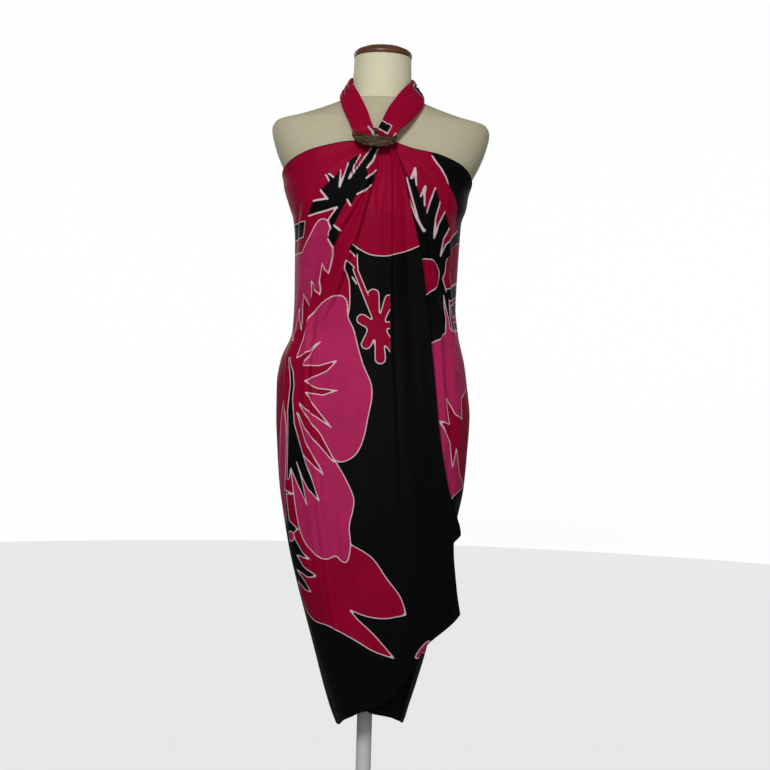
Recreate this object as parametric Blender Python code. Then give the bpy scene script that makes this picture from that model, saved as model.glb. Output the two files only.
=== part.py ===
"""A sarong worn halter style on a limbless dress form.

One rectangle of thin cloth is wrapped round a dress form from the back. Its two top corners
come to the front, go up through a coconut shell ring and are tied behind the neck.
Z is up, the wearer faces -Y, and the origin is on the floor under the middle of the stand.
Sizes in the tables are millimetres.
"""
import math

import bmesh
import bpy
import numpy as np
from mathutils import Matrix, Vector

MM = 0.001
SEAM_GAP = 0.3
CLOTH_WALL = 2.0
OVER_THE_SIDE = None
# Half the gap between two stretches of cloth at the side, as an angle: 0.3 mm at the hips.
SIDE_SEAM = math.radians(0.1)

BASE_RADIUS = 160.0
BASE_EDGE = 6.0
BASE_DOME = 14.0
SOCKET_RADIUS = 22.0
SOCKET_TOP = 52.0
POLE_RADIUS = 14.0
TORSO_BOTTOM = 740.0
NECK_TOP = 1503.0
CAP_RADIUS = 54.0
# Columns: share of the cap's radius, height above its underside.
CAP_PROFILE = ((0.963, 0.0), (1.0, 2.0), (1.0, 7.0), (0.93, 13.0), (0.72, 19.0), (0.38, 23.0), (0.08, 24.0))
# Columns: radius, height.
BASE_PROFILE = (
    (BASE_RADIUS, 0.0),
    (BASE_RADIUS, BASE_EDGE),
    (BASE_RADIUS * 0.72, BASE_EDGE + 3.0),
    (SOCKET_RADIUS * 1.3, BASE_DOME),
    (SOCKET_RADIUS, BASE_DOME + 5.0),
    (SOCKET_RADIUS, SOCKET_TOP),
)

RING_CENTRE = (-10.0, -118.0, 1337.0)
RING_OUTER_RADIUS = 40.0
RING_BAND = 14.0
RING_THICKNESS = 6.0
RING_TILT = math.radians(35.0)
RING_ROLL = math.radians(6.0)

# Shares of the way down a fold at which the tables say how far it stands out.
FRONT_READINGS = (0.0, 0.18, 0.5, 1.0)
BACK_READINGS = (0.0, 0.2, 0.45, 1.0)

# Dress form, one row for each level.
# Columns: height, half width, front depth, back depth, squareness, rise of the back over the front.
FORM_SECTIONS = (
    (TORSO_BOTTOM, 150.0, 92.0, 112.0, 2.2, 0.0),
    (850.0, 165.0, 99.0, 121.0, 2.2, 0.0),
    (950.0, 155.0, 95.0, 108.0, 2.2, 0.0),
    (1055.0, 128.0, 88.0, 88.0, 2.1, 0.0),
    (1130.0, 136.0, 102.0, 92.0, 2.2, 0.0),
    (1200.0, 144.0, 122.0, 96.0, 2.3, 0.0),
    (1255.0, 157.0, 114.0, 97.0, 2.3, 0.0),
    (1300.0, 181.0, 103.0, 95.0, 2.4, 0.0),
    (1335.0, 194.5, 93.0, 90.0, 2.4, 0.0),
    (1366.0, 200.7, 82.0, 80.0, 2.3, 0.0),
    (1381.0, 194.0, 75.0, 73.0, 2.2, 0.0),
    (1395.0, 150.0, 69.0, 68.0, 2.1, 2.0),
    (1412.0, 103.0, 62.0, 64.0, 2.0, 5.0),
    (1424.0, 76.0, 57.0, 60.0, 2.0, 8.0),
    (1436.0, 60.5, 53.0, 57.0, 2.0, 10.0),
    (1452.0, 54.5, 51.0, 53.0, 2.0, 6.0),
    (1475.0, 53.5, 50.0, 51.0, 2.0, 2.0),
    (NECK_TOP, 52.5, 50.0, 50.0, 2.0, 0.0),
)

# Outside of the cloth before its folds, one row for each level.
# Columns: height, left half width, right half width, right half width of the top layer,
# front depth, back depth, squareness.
CLOTH_SECTIONS = (
    (262.0, 46.0, 67.0, 110.0, 92.0, 100.0, 2.0),
    (304.0, 64.0, 79.0, 125.0, 94.0, 104.0, 2.0),
    (350.0, 79.0, 93.0, 140.0, 97.0, 108.0, 2.0),
    (417.0, 98.0, 111.0, 160.0, 101.0, 113.0, 2.1),
    (482.0, 117.0, 124.0, 172.0, 105.0, 118.0, 2.1),
    (535.0, 132.0, 136.0, 176.0, 109.0, 123.0, 2.2),
    (593.0, 147.0, 150.0, 179.0, 113.0, 128.0, 2.2),
    (654.0, 159.0, 160.0, 181.0, 117.0, 132.0, 2.2),
    (715.0, 169.0, 171.0, 183.0, 119.0, 134.0, 2.2),
    (771.0, 174.0, 175.0, 184.0, 119.0, 134.0, 2.2),
    (843.0, 178.5, 178.5, 183.0, 117.0, 132.0, 2.2),
    (898.0, 179.0, 172.5, 178.0, 115.0, 127.0, 2.2),
    (941.0, 173.0, 166.0, 172.0, 113.0, 119.0, 2.2),
    (996.0, 153.0, 153.0, 163.0, 112.0, 108.0, 2.2),
    (1048.0, 151.0, 147.0, 160.0, 114.0, 101.0, 2.2),
    (1116.0, 152.0, 149.0, 161.0, 122.0, 103.0, 2.2),
    (1165.0, 153.0, 151.0, 163.0, 130.0, 106.0, 2.3),
    (1200.0, 157.0, 153.0, 165.0, 133.0, 107.0, 2.3),
    (1227.0, 166.0, 161.5, 169.0, 131.0, 107.0, 2.3),
    (1255.0, 175.0, 166.0, 173.0, 126.0, 107.0, 2.3),
    (1274.0, 178.5, 177.0, 180.0, 121.0, 106.0, 2.3),
    (1300.0, 190.0, 190.0, 190.0, 113.0, 105.0, 2.4),
    (1345.0, 206.0, 206.0, 206.0, 100.0, 100.0, 2.4),
)

# Folds of the top layer, from the side to its free edge.
# Columns: name, columns of faces to the next fold, places down the fold as (across, height),
# and how far it stands out at the ring, the bust, the hip and the hem.
OVER_FOLDS = (
    ("side", 2, ((OVER_THE_SIDE, 1274), (OVER_THE_SIDE, 277)), (0, 0, 0, 0)),
    ("side pleat foot", 1,
     ((-170, 1291), (-150, 1180), (-145, 1080), (-146, 1000), (-162, 940), (-160, 778), (-146, 620), (-98, 440),
      (-46, 284)),
     (0, 0, 1, 0)),
    ("side pleat crest", 3,
     ((-164, 1296), (-145, 1180), (-140, 1080), (-140, 1000), (-155, 940), (-152, 778), (-138, 620), (-92, 440),
      (-42, 289)),
     (0, 1, 5, 1)),
    ("flap ridge", 3,
     ((-112, 1319), (-120, 1220), (-124, 1100), (-134, 950), (-126, 750), (-98, 560), (-34, 299)),
     (1, 3, 3, 3)),
    ("neckline hollow", 3,
     ((-48, 1331), (-72, 1240), (-102, 1150), (-112, 1060), (-124, 960), (-118, 750), (-84, 540), (-26, 305)),
     (2, 3, 4, 4)),
    ("second pleat crest", 1,
     ((-24, 1331), (-16, 1275), (-40, 1212), (-64, 1168), (-84, 1105), (-110, 1033), (-118, 930), (-104, 700),
      (-66, 480), (-20, 309)),
     (6, 10, 6, 4)),
    ("second pleat foot", 2,
     ((-20, 1331), (-11, 1275), (-35, 1210), (-59, 1165), (-79, 1103), (-104, 1028), (-112, 930), (-99, 700),
      (-62, 480), (-17, 311)),
     (5, 4, 5, 4)),
    ("left pleat crest", 1,
     ((-15, 1331), (-5, 1284), (-16, 1239), (-33, 1169), (-51, 1110), (-69, 1058), (-96, 996), (-104, 900),
      (-90, 700), (-54, 480), (-12, 315)),
     (8, 12, 7, 6)),
    ("left pleat foot", 3,
     ((-11, 1331), (0, 1284), (-11, 1237), (-28, 1166), (-46, 1107), (-63, 1055), (-88, 993), (-97, 900),
      (-84, 700), (-49, 480), (-9, 317)),
     (5, 4.5, 5, 5)),
    ("centre swell", 3,
     ((-2, 1331), (8, 1284), (3, 1220), (-6, 1120), (-26, 1010), (-38, 880), (-34, 700), (-16, 500), (6, 322)),
     (7, 7, 6.5, 6.5)),
    ("centre pleat foot", 1,
     ((8, 1331), (19, 1290), (21, 1223), (24, 1100), (27, 1000), (31, 900), (38, 780), (46, 670), (50, 560),
      (42, 342)),
     (6, 5, 4.5, 5)),
    ("centre pleat crest", 3,
     ((12, 1331), (24, 1290), (26, 1223), (29, 1100), (33, 1000), (40, 900), (48, 780), (56, 670), (58, 560),
      (50, 351)),
     (11, 13, 9, 7)),
    ("centre ridge", 3,
     ((15, 1330), (31, 1280), (37, 1200), (42, 1080), (48, 950), (57, 830), (68, 750), (76, 650), (80, 560),
      (78, 393)),
     (9, 10, 10, 8)),
    ("centre valley", 3,
     ((18, 1330), (38, 1280), (47, 1200), (57, 1080), (69, 950), (83, 858), (97, 800), (106, 700), (109, 560),
      (104, 437)),
     (7, 6, 5.5, 6)),
    ("free edge", 0,
     ((22, 1329), (42, 1277), (53, 1225), (73, 1145), (90, 1029), (105, 911), (115, 824), (133, 723),
      (149, 672), (158, 634), (146, 622), (154, 535), (162, 487)),
     (6, 6, 7, 6)),
)

# Folds of the layer beneath, from its hidden edge to the side.
UNDER_FOLDS = (
    ("hidden edge", 3,
     ((-24, 1330), (-45, 1200), (-62, 1050), (-72, 850), (-62, 650), (-50, 430)), (0, 0, 0, 0)),
    ("hidden middle", 4,
     ((-4, 1330), (5, 1200), (8, 1050), (10, 850), (8, 650), (-5, 345)), (0, 0, 0, 0)),
    ("beside the free edge", 1,
     ((16, 1330), (44, 1262), (62, 1180), (80, 1060), (96, 900), (104, 750), (88, 550), (40, 314)),
     (0, 0, 0, 0)),
    ("right pleat foot", 1,
     ((19, 1330), (46, 1270), (66, 1230), (88, 1120), (106, 980), (120, 800), (106, 600), (50, 308)),
     (0, 0, 0, 0)),
    ("right pleat crest", 2,
     ((23, 1330), (52, 1270), (72, 1230), (94, 1120), (112, 980), (126, 800), (112, 600), (54, 304)),
     (2, 6, 4, 1)),
    ("bust ridge", 2,
     ((62, 1319), (92, 1230), (108, 1120), (124, 980), (138, 800), (122, 600), (58, 301)), (3, 2, 1, 0)),
    ("outer ridge", 2,
     ((100, 1313), (120, 1230), (124, 1120), (138, 980), (152, 800), (134, 600), (63, 295)), (1, 4, 3, 3)),
    ("side hollow", 2,
     ((142, 1299), (142, 1230), (137, 1120), (149, 980), (164, 800), (144, 600), (67, 287)), (0, 0, 1, 0)),
    ("side", 0, ((OVER_THE_SIDE, 1255), (OVER_THE_SIDE, 278)), (0, 0, 0, 0)),
)

# Soft folds that hang down the back, seen from above and counted from the wearer's front.
# Columns: angle at the top, angle at the hem, half width, and how far it stands out
# at the top, the waist, the hip and the hem.
BACK_FOLDS = (
    (104.0, 112.0, 9.0, 0.0, 2.0, 4.0, 9.0),
    (128.0, 131.0, 10.0, 1.0, -3.0, -4.0, -12.0),
    (147.0, 151.0, 8.0, 1.0, 4.0, 5.0, 12.0),
    (166.0, 169.0, 10.0, -1.0, -3.0, -5.0, -13.0),
    (183.0, 187.0, 8.0, 1.0, 5.0, 6.0, 11.0),
    (202.0, 205.0, 11.0, -1.0, -4.0, -4.0, -12.0),
    (223.0, 224.0, 9.0, 2.0, 3.0, 5.0, 12.0),
    (243.0, 243.0, 9.0, 0.0, -2.0, -3.0, -8.0),
)
BACK_TOP = ((90.0, 1255.0), (125.0, 1240.0), (180.0, 1228.0), (235.0, 1246.0), (270.0, 1274.0))
BACK_HEM = ((90.0, 278.0), (130.0, 268.0), (180.0, 263.0), (230.0, 268.0), (270.0, 277.0))

# The gathered corners, from the ring to the nape.
# Columns: x, y, z, width, thickness, and the way the flat face looks as azimuth and elevation,
# with azimuth 0 to the front and 90 to +X.
LEFT_STRAP = (
    (-18.0, -112.0, 1332.4, 16.0, 9.0, -5.0, 6.0),
    (-20.0, -113.5, 1345.0, 17.0, 9.0, -8.0, 14.0),
    (-27.0, -112.0, 1360.0, 27.0, 9.0, -10.0, 34.0),
    (-36.0, -102.0, 1375.0, 37.0, 8.0, -14.0, 38.0),
    (-45.0, -87.5, 1391.0, 39.0, 8.0, -22.0, 38.0),
    (-54.0, -72.0, 1409.0, 38.0, 8.0, -35.0, 38.0),
    (-62.0, -51.0, 1427.0, 35.0, 8.0, -55.0, 34.0),
    (-68.0, -20.0, 1445.0, 31.0, 8.0, -77.0, 18.0),
    (-65.0, 8.0, 1456.0, 29.0, 8.0, -98.0, 6.0),
    (-54.0, 32.0, 1463.0, 28.0, 8.0, -124.0, 5.0),
    (-40.0, 44.0, 1467.0, 27.0, 8.0, -142.0, 4.0),
    (-25.0, 50.9, 1469.0, 25.0, 8.0, -157.0, 3.0),
    (-12.8, 56.5, 1469.0, 22.0, 8.0, -166.0, 3.0),
)
RIGHT_STRAP = (
    (2.5, -112.0, 1331.6, 15.0, 9.0, 5.0, 6.0),
    (2.0, -113.5, 1345.0, 15.0, 9.0, 8.0, 14.0),
    (12.0, -112.0, 1359.0, 27.0, 9.0, 12.0, 34.0),
    (26.0, -103.0, 1373.0, 38.0, 8.0, 18.0, 38.0),
    (40.0, -87.5, 1389.0, 43.0, 8.0, 26.0, 38.0),
    (53.0, -72.0, 1406.0, 42.0, 8.0, 38.0, 38.0),
    (63.0, -51.0, 1425.0, 38.0, 8.0, 56.0, 36.0),
    (69.0, -20.0, 1444.0, 33.0, 8.0, 77.0, 18.0),
    (65.5, 8.0, 1455.5, 30.0, 8.0, 98.0, 6.0),
    (54.0, 32.0, 1462.5, 28.0, 8.0, 124.0, 5.0),
    (40.0, 44.0, 1467.0, 27.0, 8.0, 142.0, 4.0),
    (25.0, 50.9, 1469.0, 25.0, 8.0, 157.0, 3.0),
    (12.8, 56.5, 1469.0, 22.0, 8.0, 166.0, 3.0),
)
# A power under 1 makes the strap's oval section a little fuller at its corners.
STRAP_OVAL = 0.8
KNOT_CENTRE = (0.0, 65.5, 1468.0)
KNOT_RADII = (14.0, 13.0, 17.0)
TIE_END = (
    (7.0, 69.7, 1452.2, 13.0, 6.0, 176.0, 14.0),
    (12.0, 75.0, 1430.0, 22.0, 5.0, 174.0, 16.0),
    (19.0, 80.5, 1403.0, 31.0, 4.5, 170.0, 14.0),
    (27.0, 86.0, 1376.0, 38.0, 4.0, 166.0, 10.0),
    (33.0, 90.5, 1354.0, 43.0, 4.0, 164.0, 8.0),
)


def clear_scene():
    for item in list(bpy.data.objects):
        bpy.data.objects.remove(item, do_unlink=True)


def finish(name, colour, roughness, metallic=0.0):
    """Plain material for one sub-part."""
    material = bpy.data.materials.new(name)
    material.use_nodes = True
    shader = material.node_tree.nodes["Principled BSDF"]
    shader.inputs["Base Color"].default_value = (*colour, 1.0)
    shader.inputs["Roughness"].default_value = roughness
    shader.inputs["Metallic"].default_value = metallic
    return material


def smooth(at, stations, readings):
    """Read a curve with no overshoot through readings at rising stations."""
    x = np.asarray(stations, dtype=float)
    y = np.asarray(readings, dtype=float)
    step = np.diff(x)
    slope = np.diff(y) / step
    tangent = np.concatenate(([slope[0]], np.zeros(len(x) - 2), [slope[-1]]))
    for index in range(1, len(x) - 1):
        before, after = slope[index - 1], slope[index]
        if before * after > 0:
            tangent[index] = 2.0 * before * after / (before + after)
    at = np.clip(np.asarray(at, dtype=float), x[0], x[-1])
    cell = np.clip(np.searchsorted(x, at, side="right") - 1, 0, len(x) - 2)
    t = (at - x[cell]) / step[cell]
    return (
        (1 + 2 * t) * (1 - t) ** 2 * y[cell]
        + t * (1 - t) ** 2 * step[cell] * tangent[cell]
        + t * t * (3 - 2 * t) * y[cell + 1]
        + t * t * (t - 1) * step[cell] * tangent[cell + 1]
    )


def column(table, index):
    return [row[index] for row in table]


def on_section(angle, width, front, back, square):
    """Point and outward direction on a body section, at an angle counted from the front to +X."""
    across, ahead = np.sin(angle), np.cos(angle)
    depth = np.where(ahead > 0, front, back)
    power = 2.0 / square
    x = width * np.sign(across) * np.abs(across) ** power
    y = -depth * np.sign(ahead) * np.abs(ahead) ** power
    out_x = np.sign(x) * np.abs(x / width) ** (square - 1) / width
    out_y = np.sign(y) * np.abs(y / depth) ** (square - 1) / depth
    length = np.hypot(out_x, out_y)
    return x, y, out_x / length, out_y / length


def object_from(name, corners, faces, material):
    """Make one closed solid from corners in millimetres."""
    mesh = bpy.data.meshes.new(name)
    mesh.from_pydata([tuple(float(value) * MM for value in corner) for corner in corners], [], faces)
    mesh.validate()
    mesh.materials.append(material)
    mesh.shade_smooth()
    mesh.set_sharp_from_angle(angle=math.radians(50))
    item = bpy.data.objects.new(name, mesh)
    bpy.context.collection.objects.link(item)
    return item


def loft(name, rings, material):
    """Skin a stack of rings, each counted anticlockwise from above, bottom ring first."""
    count = len(rings[0])
    corners = [corner for ring in rings for corner in ring]
    faces = [tuple(reversed(range(count)))]
    for level in range(len(rings) - 1):
        for place in range(count):
            after = (place + 1) % count
            low, high = level * count, (level + 1) * count
            faces.append((low + place, low + after, high + after, high + place))
    top = (len(rings) - 1) * count
    faces.append(tuple(top + place for place in range(count)))
    return object_from(name, corners, faces, material)


def turned(name, profile, material, sides):
    """Turn a profile of (radius, height) about the stand's axis, bottom first."""
    angles = [2 * math.pi * place / sides for place in range(sides)]
    rings = []
    for radius, height in profile:
        rings.append([(radius * math.cos(angle), radius * math.sin(angle), height) for angle in angles])
    return loft(name, rings, material)


def wall(name, outer, inner, material):
    """Closed wall between two grids, with rows downwards and columns to the right as seen from outside."""
    rows, columns = outer.shape[:2]
    corners = np.concatenate((outer.reshape(-1, 3), inner.reshape(-1, 3)))
    shift = rows * columns
    faces = []
    for row in range(rows - 1):
        for place in range(columns - 1):
            a = row * columns + place
            b, c, d = a + columns, a + columns + 1, a + 1
            faces.append((a, b, c, d))
            faces.append((a + shift, d + shift, c + shift, b + shift))
    for row in range(rows - 1):
        a = row * columns
        b = a + columns
        faces.append((a, a + shift, b + shift, b))
        a += columns - 1
        b += columns - 1
        faces.append((a, b, b + shift, a + shift))
    for place in range(columns - 1):
        a = place
        faces.append((a, a + 1, a + 1 + shift, a + shift))
        a = (rows - 1) * columns + place
        faces.append((a, a + shift, a + 1 + shift, a + 1))
    return object_from(name, corners, faces, material)


def cloth_section(angle, height, top_layer):
    """Point and outward direction on the cloth before its folds."""
    levels = column(CLOTH_SECTIONS, 0)
    right_column = 3 if top_layer else 2
    left = smooth(height, levels, column(CLOTH_SECTIONS, 1))
    right = smooth(height, levels, column(CLOTH_SECTIONS, right_column))
    front = smooth(height, levels, column(CLOTH_SECTIONS, 4))
    back = smooth(height, levels, column(CLOTH_SECTIONS, 5))
    square = smooth(height, levels, column(CLOTH_SECTIONS, 6))
    width = np.where(np.sin(angle) < 0, left, right)
    return on_section(angle, width, front, back, square)


def angle_across(across, height, top_layer):
    """Angle at which the front of the cloth is a given distance across from its middle."""
    levels = column(CLOTH_SECTIONS, 0)
    side_column = 1 if across < 0 else (3 if top_layer else 2)
    width = smooth(height, levels, column(CLOTH_SECTIONS, side_column))
    square = smooth(height, levels, column(CLOTH_SECTIONS, 6))
    share = min(abs(across) / float(width), 1.0)
    return math.copysign(math.asin(share ** (float(square) / 2.0)), across)


def cloth_points(angle, height, lift, top_layer):
    """Outer and inner points of the cloth wall."""
    x, y, out_x, out_y = cloth_section(angle, height, top_layer)
    outer = np.stack((x + out_x * lift, y + out_y * lift, height), axis=-1)
    back_off = lift - CLOTH_WALL
    inner = np.stack((x + out_x * back_off, y + out_y * back_off, height), axis=-1)
    return outer, inner


def fold_down(fold, rows, side, top_layer):
    """Angle, height and lift of one fold at each row, from its top to the hem."""
    places, stands = fold[2:]
    heights = column(places, 1)
    levels = np.interp(rows, (0.0, 1.0), (heights[0], heights[-1]))
    lifts = smooth(rows, FRONT_READINGS, stands)
    if places[0][0] is OVER_THE_SIDE:
        angles = np.full(len(rows), side * (math.pi / 2 - SIDE_SEAM))
        return angles, levels, lifts
    across = smooth(levels, heights[::-1], column(places, 0)[::-1])
    angles = np.array([angle_across(x, z, top_layer) for x, z in zip(across, levels)])
    return angles, levels, lifts


def front_panel(name, folds, side, row_count, top_layer, material):
    """Drape one front stretch over its folds."""
    rows = np.linspace(0.0, 1.0, row_count)
    stations = np.concatenate(([0], np.cumsum([fold[1] for fold in folds[:-1]])))
    places = np.arange(stations[-1] + 1)
    down = [fold_down(fold, rows, side, top_layer) for fold in folds]
    angle, height, lift = (np.zeros((row_count, len(places))) for _ in range(3))
    for row in range(row_count):
        angle[row] = smooth(places, stations, [fold[0][row] for fold in down])
        height[row] = smooth(places, stations, [fold[1][row] for fold in down])
        lift[row] = smooth(places, stations, [fold[2][row] for fold in down])
    outer, inner = cloth_points(angle, height, lift, top_layer)
    return wall(name, outer, inner, material)


def back_panel(name, row_count, column_count, material):
    """Drape the stretch round the back, with folds that deepen towards the hem."""
    seam = math.degrees(SIDE_SEAM)
    degrees = np.linspace(90.0 + seam, 270.0 - seam, column_count)
    rows = np.linspace(0.0, 1.0, row_count)
    top = smooth(degrees, *zip(*BACK_TOP))
    hem = smooth(degrees, *zip(*BACK_HEM))
    height = top[None, :] + (hem - top)[None, :] * rows[:, None]
    lift = np.zeros_like(height)
    for at_top, at_hem, half_width, *stands in BACK_FOLDS:
        middle = at_top + (at_hem - at_top) * rows[:, None]
        share = np.clip(np.abs(degrees[None, :] - middle) / (2 * half_width), 0, 1)
        depth = smooth(rows, BACK_READINGS, stands)[:, None]
        lift += depth * (0.5 + 0.5 * np.cos(math.pi * share))
    angle = np.radians(np.broadcast_to(degrees[None, :], height.shape))
    outer, inner = cloth_points(angle, height, lift, False)
    return wall(name, outer, inner, material)


def strap(name, stations, material, mirrored=False, count=26, sides=12):
    """Sweep a flat oval along the stations of a gathered corner."""
    rows = np.array(stations, dtype=float)
    if mirrored:
        rows[:, 0] *= -1
        rows[:, 5] *= -1
    run = np.concatenate(([0.0], np.cumsum(np.linalg.norm(np.diff(rows[:, :3], axis=0), axis=1))))
    at = np.linspace(0.0, run[-1], count)
    path = np.stack([smooth(at, run, rows[:, index]) for index in range(7)], axis=-1)
    tangent = np.gradient(path[:, :3], axis=0)
    tangent /= np.linalg.norm(tangent, axis=1)[:, None]
    azimuth, elevation = np.radians(path[:, 5]), np.radians(path[:, 6])
    facing = np.stack(
        (np.sin(azimuth) * np.cos(elevation), -np.cos(azimuth) * np.cos(elevation), np.sin(elevation)), axis=-1
    )
    wide = np.cross(facing, tangent)
    wide /= np.linalg.norm(wide, axis=1)[:, None]
    thick = np.cross(tangent, wide)
    rings = []
    for place in range(count):
        ring = []
        for side in range(sides):
            turn = 2 * math.pi * side / sides
            u = math.copysign(abs(math.cos(turn)) ** STRAP_OVAL, math.cos(turn)) * path[place, 3] / 2
            v = math.copysign(abs(math.sin(turn)) ** STRAP_OVAL, math.sin(turn)) * path[place, 4] / 2
            ring.append(path[place, :3] + wide[place] * u + thick[place] * v)
        rings.append(ring)
    return loft(name, rings, material)


def coconut_ring(material, around=28, sides=8):
    """Flat ring with rounded edges, tilted so that its near side hangs low."""
    middle = RING_OUTER_RADIUS - RING_BAND / 2
    turned_over = Matrix.Rotation(RING_ROLL, 4, "Y") @ Matrix.Rotation(RING_TILT, 4, "X")
    place = Matrix.Translation(RING_CENTRE) @ turned_over
    corners = []
    for step in range(around):
        turn = 2 * math.pi * step / around
        for side in range(sides):
            bend = 2 * math.pi * side / sides
            radius = middle + math.cos(bend) * RING_BAND / 2
            rise = math.sin(bend) * RING_THICKNESS / 2
            corners.append(place @ Vector((radius * math.cos(turn), radius * math.sin(turn), rise)))
    faces = []
    for step in range(around):
        after = (step + 1) % around
        for side in range(sides):
            beside = (side + 1) % sides
            faces.append((
                step * sides + side,
                after * sides + side,
                after * sides + beside,
                step * sides + beside,
            ))
    return object_from("coconut_ring", corners, faces, material)


def nape_knot(material):
    """Rounded lump where the two gathered corners are tied."""
    mesh = bpy.data.meshes.new("nape_knot")
    form = bmesh.new()
    bmesh.ops.create_uvsphere(form, u_segments=14, v_segments=9, radius=1.0)
    for corner in form.verts:
        corner.co.x = (KNOT_CENTRE[0] + corner.co.x * KNOT_RADII[0]) * MM
        corner.co.y = (KNOT_CENTRE[1] + corner.co.y * KNOT_RADII[1]) * MM
        corner.co.z = (KNOT_CENTRE[2] + corner.co.z * KNOT_RADII[2]) * MM
    form.to_mesh(mesh)
    form.free()
    mesh.materials.append(material)
    mesh.shade_smooth()
    item = bpy.data.objects.new("nape_knot", mesh)
    bpy.context.collection.objects.link(item)
    return item


def dress_form(material, around=32):
    """Smooth limbless torso from the hips to the top of the neck."""
    levels = column(FORM_SECTIONS, 0)
    between = np.linspace(levels[0], levels[8], 13)
    heights = sorted(set(between) | set(levels[9:]))
    angles = np.radians(np.arange(around) * 360.0 / around)
    rings = []
    for height in heights:
        sizes = [smooth(height, levels, column(FORM_SECTIONS, index)) for index in range(1, 6)]
        width, front, back, square, rise = sizes
        x, y = on_section(angles, width, front, back, square)[:2]
        rings.append(np.stack((x, y, height + rise * y / back), axis=-1))
    return loft("form_torso", rings, material)


def build():
    clear_scene()
    cream = finish("form_cream", (0.72, 0.66, 0.53), 0.45)
    wood = finish("cap_wood", (0.16, 0.06, 0.03), 0.35)
    steel = finish("stand_grey", (0.55, 0.55, 0.56), 0.4, 1.0)
    crimson = finish("cloth_crimson", (0.30, 0.0, 0.032), 0.6)
    black = finish("cloth_black", (0.012, 0.012, 0.014), 0.6)
    shell = finish("coconut_shell", (0.13, 0.07, 0.045), 0.5)

    turned("form_base", BASE_PROFILE, steel, sides=40)
    pole_ends = (SOCKET_TOP + SEAM_GAP, TORSO_BOTTOM - SEAM_GAP)
    turned("form_pole", [(POLE_RADIUS, height) for height in pole_ends], steel, sides=20)
    dress_form(cream)
    cap_bottom = NECK_TOP + SEAM_GAP
    cap = [(share * CAP_RADIUS, cap_bottom + height) for share, height in CAP_PROFILE]
    turned("form_neck_cap", cap, wood, sides=32)

    back_panel("cloth_back", 25, 37, crimson)
    front_panel("cloth_front_under", UNDER_FOLDS, 1, 27, False, black)
    front_panel("cloth_front_over", OVER_FOLDS, -1, 31, True, crimson)
    strap("strap_left", LEFT_STRAP, crimson)
    strap("strap_right", RIGHT_STRAP, crimson)
    nape_knot(crimson)
    strap("tie_end_left", TIE_END, crimson, mirrored=True, count=9, sides=10)
    strap("tie_end_right", TIE_END, crimson, count=9, sides=10)
    coconut_ring(shell)


build()
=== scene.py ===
# %% [markdown]
# # A printed sarong, tied halter style on a dress form
#
# The real thing is one rectangle of thin rayon with a narrow hem. It goes round the body from
# the back, its two top corners come up through a coconut shell ring at the chest, and they are
# knotted behind the neck. The solids already hold the main folds. This lesson drapes thin cloth
# over the same folds, prints it, and finishes the ring, the form and the stand.

# %% Load the solids
import math

import bpy
import numpy as np
from mathutils import Matrix, Vector


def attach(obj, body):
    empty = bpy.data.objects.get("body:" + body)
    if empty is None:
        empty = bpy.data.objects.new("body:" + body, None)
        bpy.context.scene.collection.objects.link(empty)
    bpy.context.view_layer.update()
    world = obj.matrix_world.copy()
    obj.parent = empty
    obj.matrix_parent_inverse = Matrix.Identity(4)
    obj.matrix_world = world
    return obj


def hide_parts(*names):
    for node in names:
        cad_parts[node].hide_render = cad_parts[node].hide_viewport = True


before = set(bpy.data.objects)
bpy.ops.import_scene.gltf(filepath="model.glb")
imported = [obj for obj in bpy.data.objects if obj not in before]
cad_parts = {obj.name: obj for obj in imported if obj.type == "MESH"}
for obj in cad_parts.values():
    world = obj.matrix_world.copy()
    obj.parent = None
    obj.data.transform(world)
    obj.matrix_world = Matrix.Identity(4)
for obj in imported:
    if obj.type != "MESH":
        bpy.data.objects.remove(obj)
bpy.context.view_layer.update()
MM = 0.001
BODY = "root"
print("solids:", ", ".join(sorted(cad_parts)))

# %% [markdown]
# ## Camera
#
# The photo was taken level, from the height of the waist and 2.4 m away. It leans a little,
# so the camera is rolled. The lens is worked out from the width of the picture at the form.

# %% Place the camera
CAMERA_PLACE = (0.0207, -2.4, 0.900)
PICTURE_WIDTH = 1.4245
CAMERA_ROLL = math.radians(1.6)
SENSOR = 36.0

camera_data = bpy.data.cameras.new("camera")
camera_data.sensor_width = SENSOR
camera_data.lens = SENSOR * -CAMERA_PLACE[1] / PICTURE_WIDTH
camera = bpy.data.objects.new("camera", camera_data)
bpy.context.scene.collection.objects.link(camera)
level = Matrix.Rotation(math.radians(90), 4, "X")
camera.matrix_world = Matrix.Translation(CAMERA_PLACE) @ level @ Matrix.Rotation(CAMERA_ROLL, 4, "Z")
bpy.context.scene.camera = camera
bpy.context.scene.view_settings.view_transform = "Standard"
print("lens", round(camera_data.lens, 1), "mm")

# %% [markdown]
# ## Floor and light
#
# A pale sweep goes all round the form, as in a small photo studio: a flat floor that bends up
# into a wall, so no corner shows from any side. It glows a little, as paper does that is lit from
# behind, but lends the form no light, so that the sides of the cloth stay darker than its front.
# One soft light stands near the camera, two weak ones fill the shade, and two light the back.

# %% Build the sweep
SWEEP_FLOOR = 5.0
SWEEP_RADIUS = 2.0
SWEEP_TOP = 9.0
SWEEP_SIDES = 48
SWEEP_BEND_STEPS = 12
PAPER_GLOW = 0.8


def plain_finish(name, colour, roughness, specular=0.5):
    """A Principled material with its even values on the sockets."""
    material = bpy.data.materials.new(name)
    material.use_nodes = True
    shader = material.node_tree.nodes["Principled BSDF"]
    shader.inputs["Base Color"].default_value = (*colour, 1.0)
    shader.inputs["Roughness"].default_value = roughness
    shader.inputs["Specular IOR Level"].default_value = specular
    return material


def link_piece(name, mesh, material):
    """A new object in the scene, with one material."""
    piece = bpy.data.objects.new(name, mesh)
    bpy.context.scene.collection.objects.link(piece)
    mesh.materials.append(material)
    return piece


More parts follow.
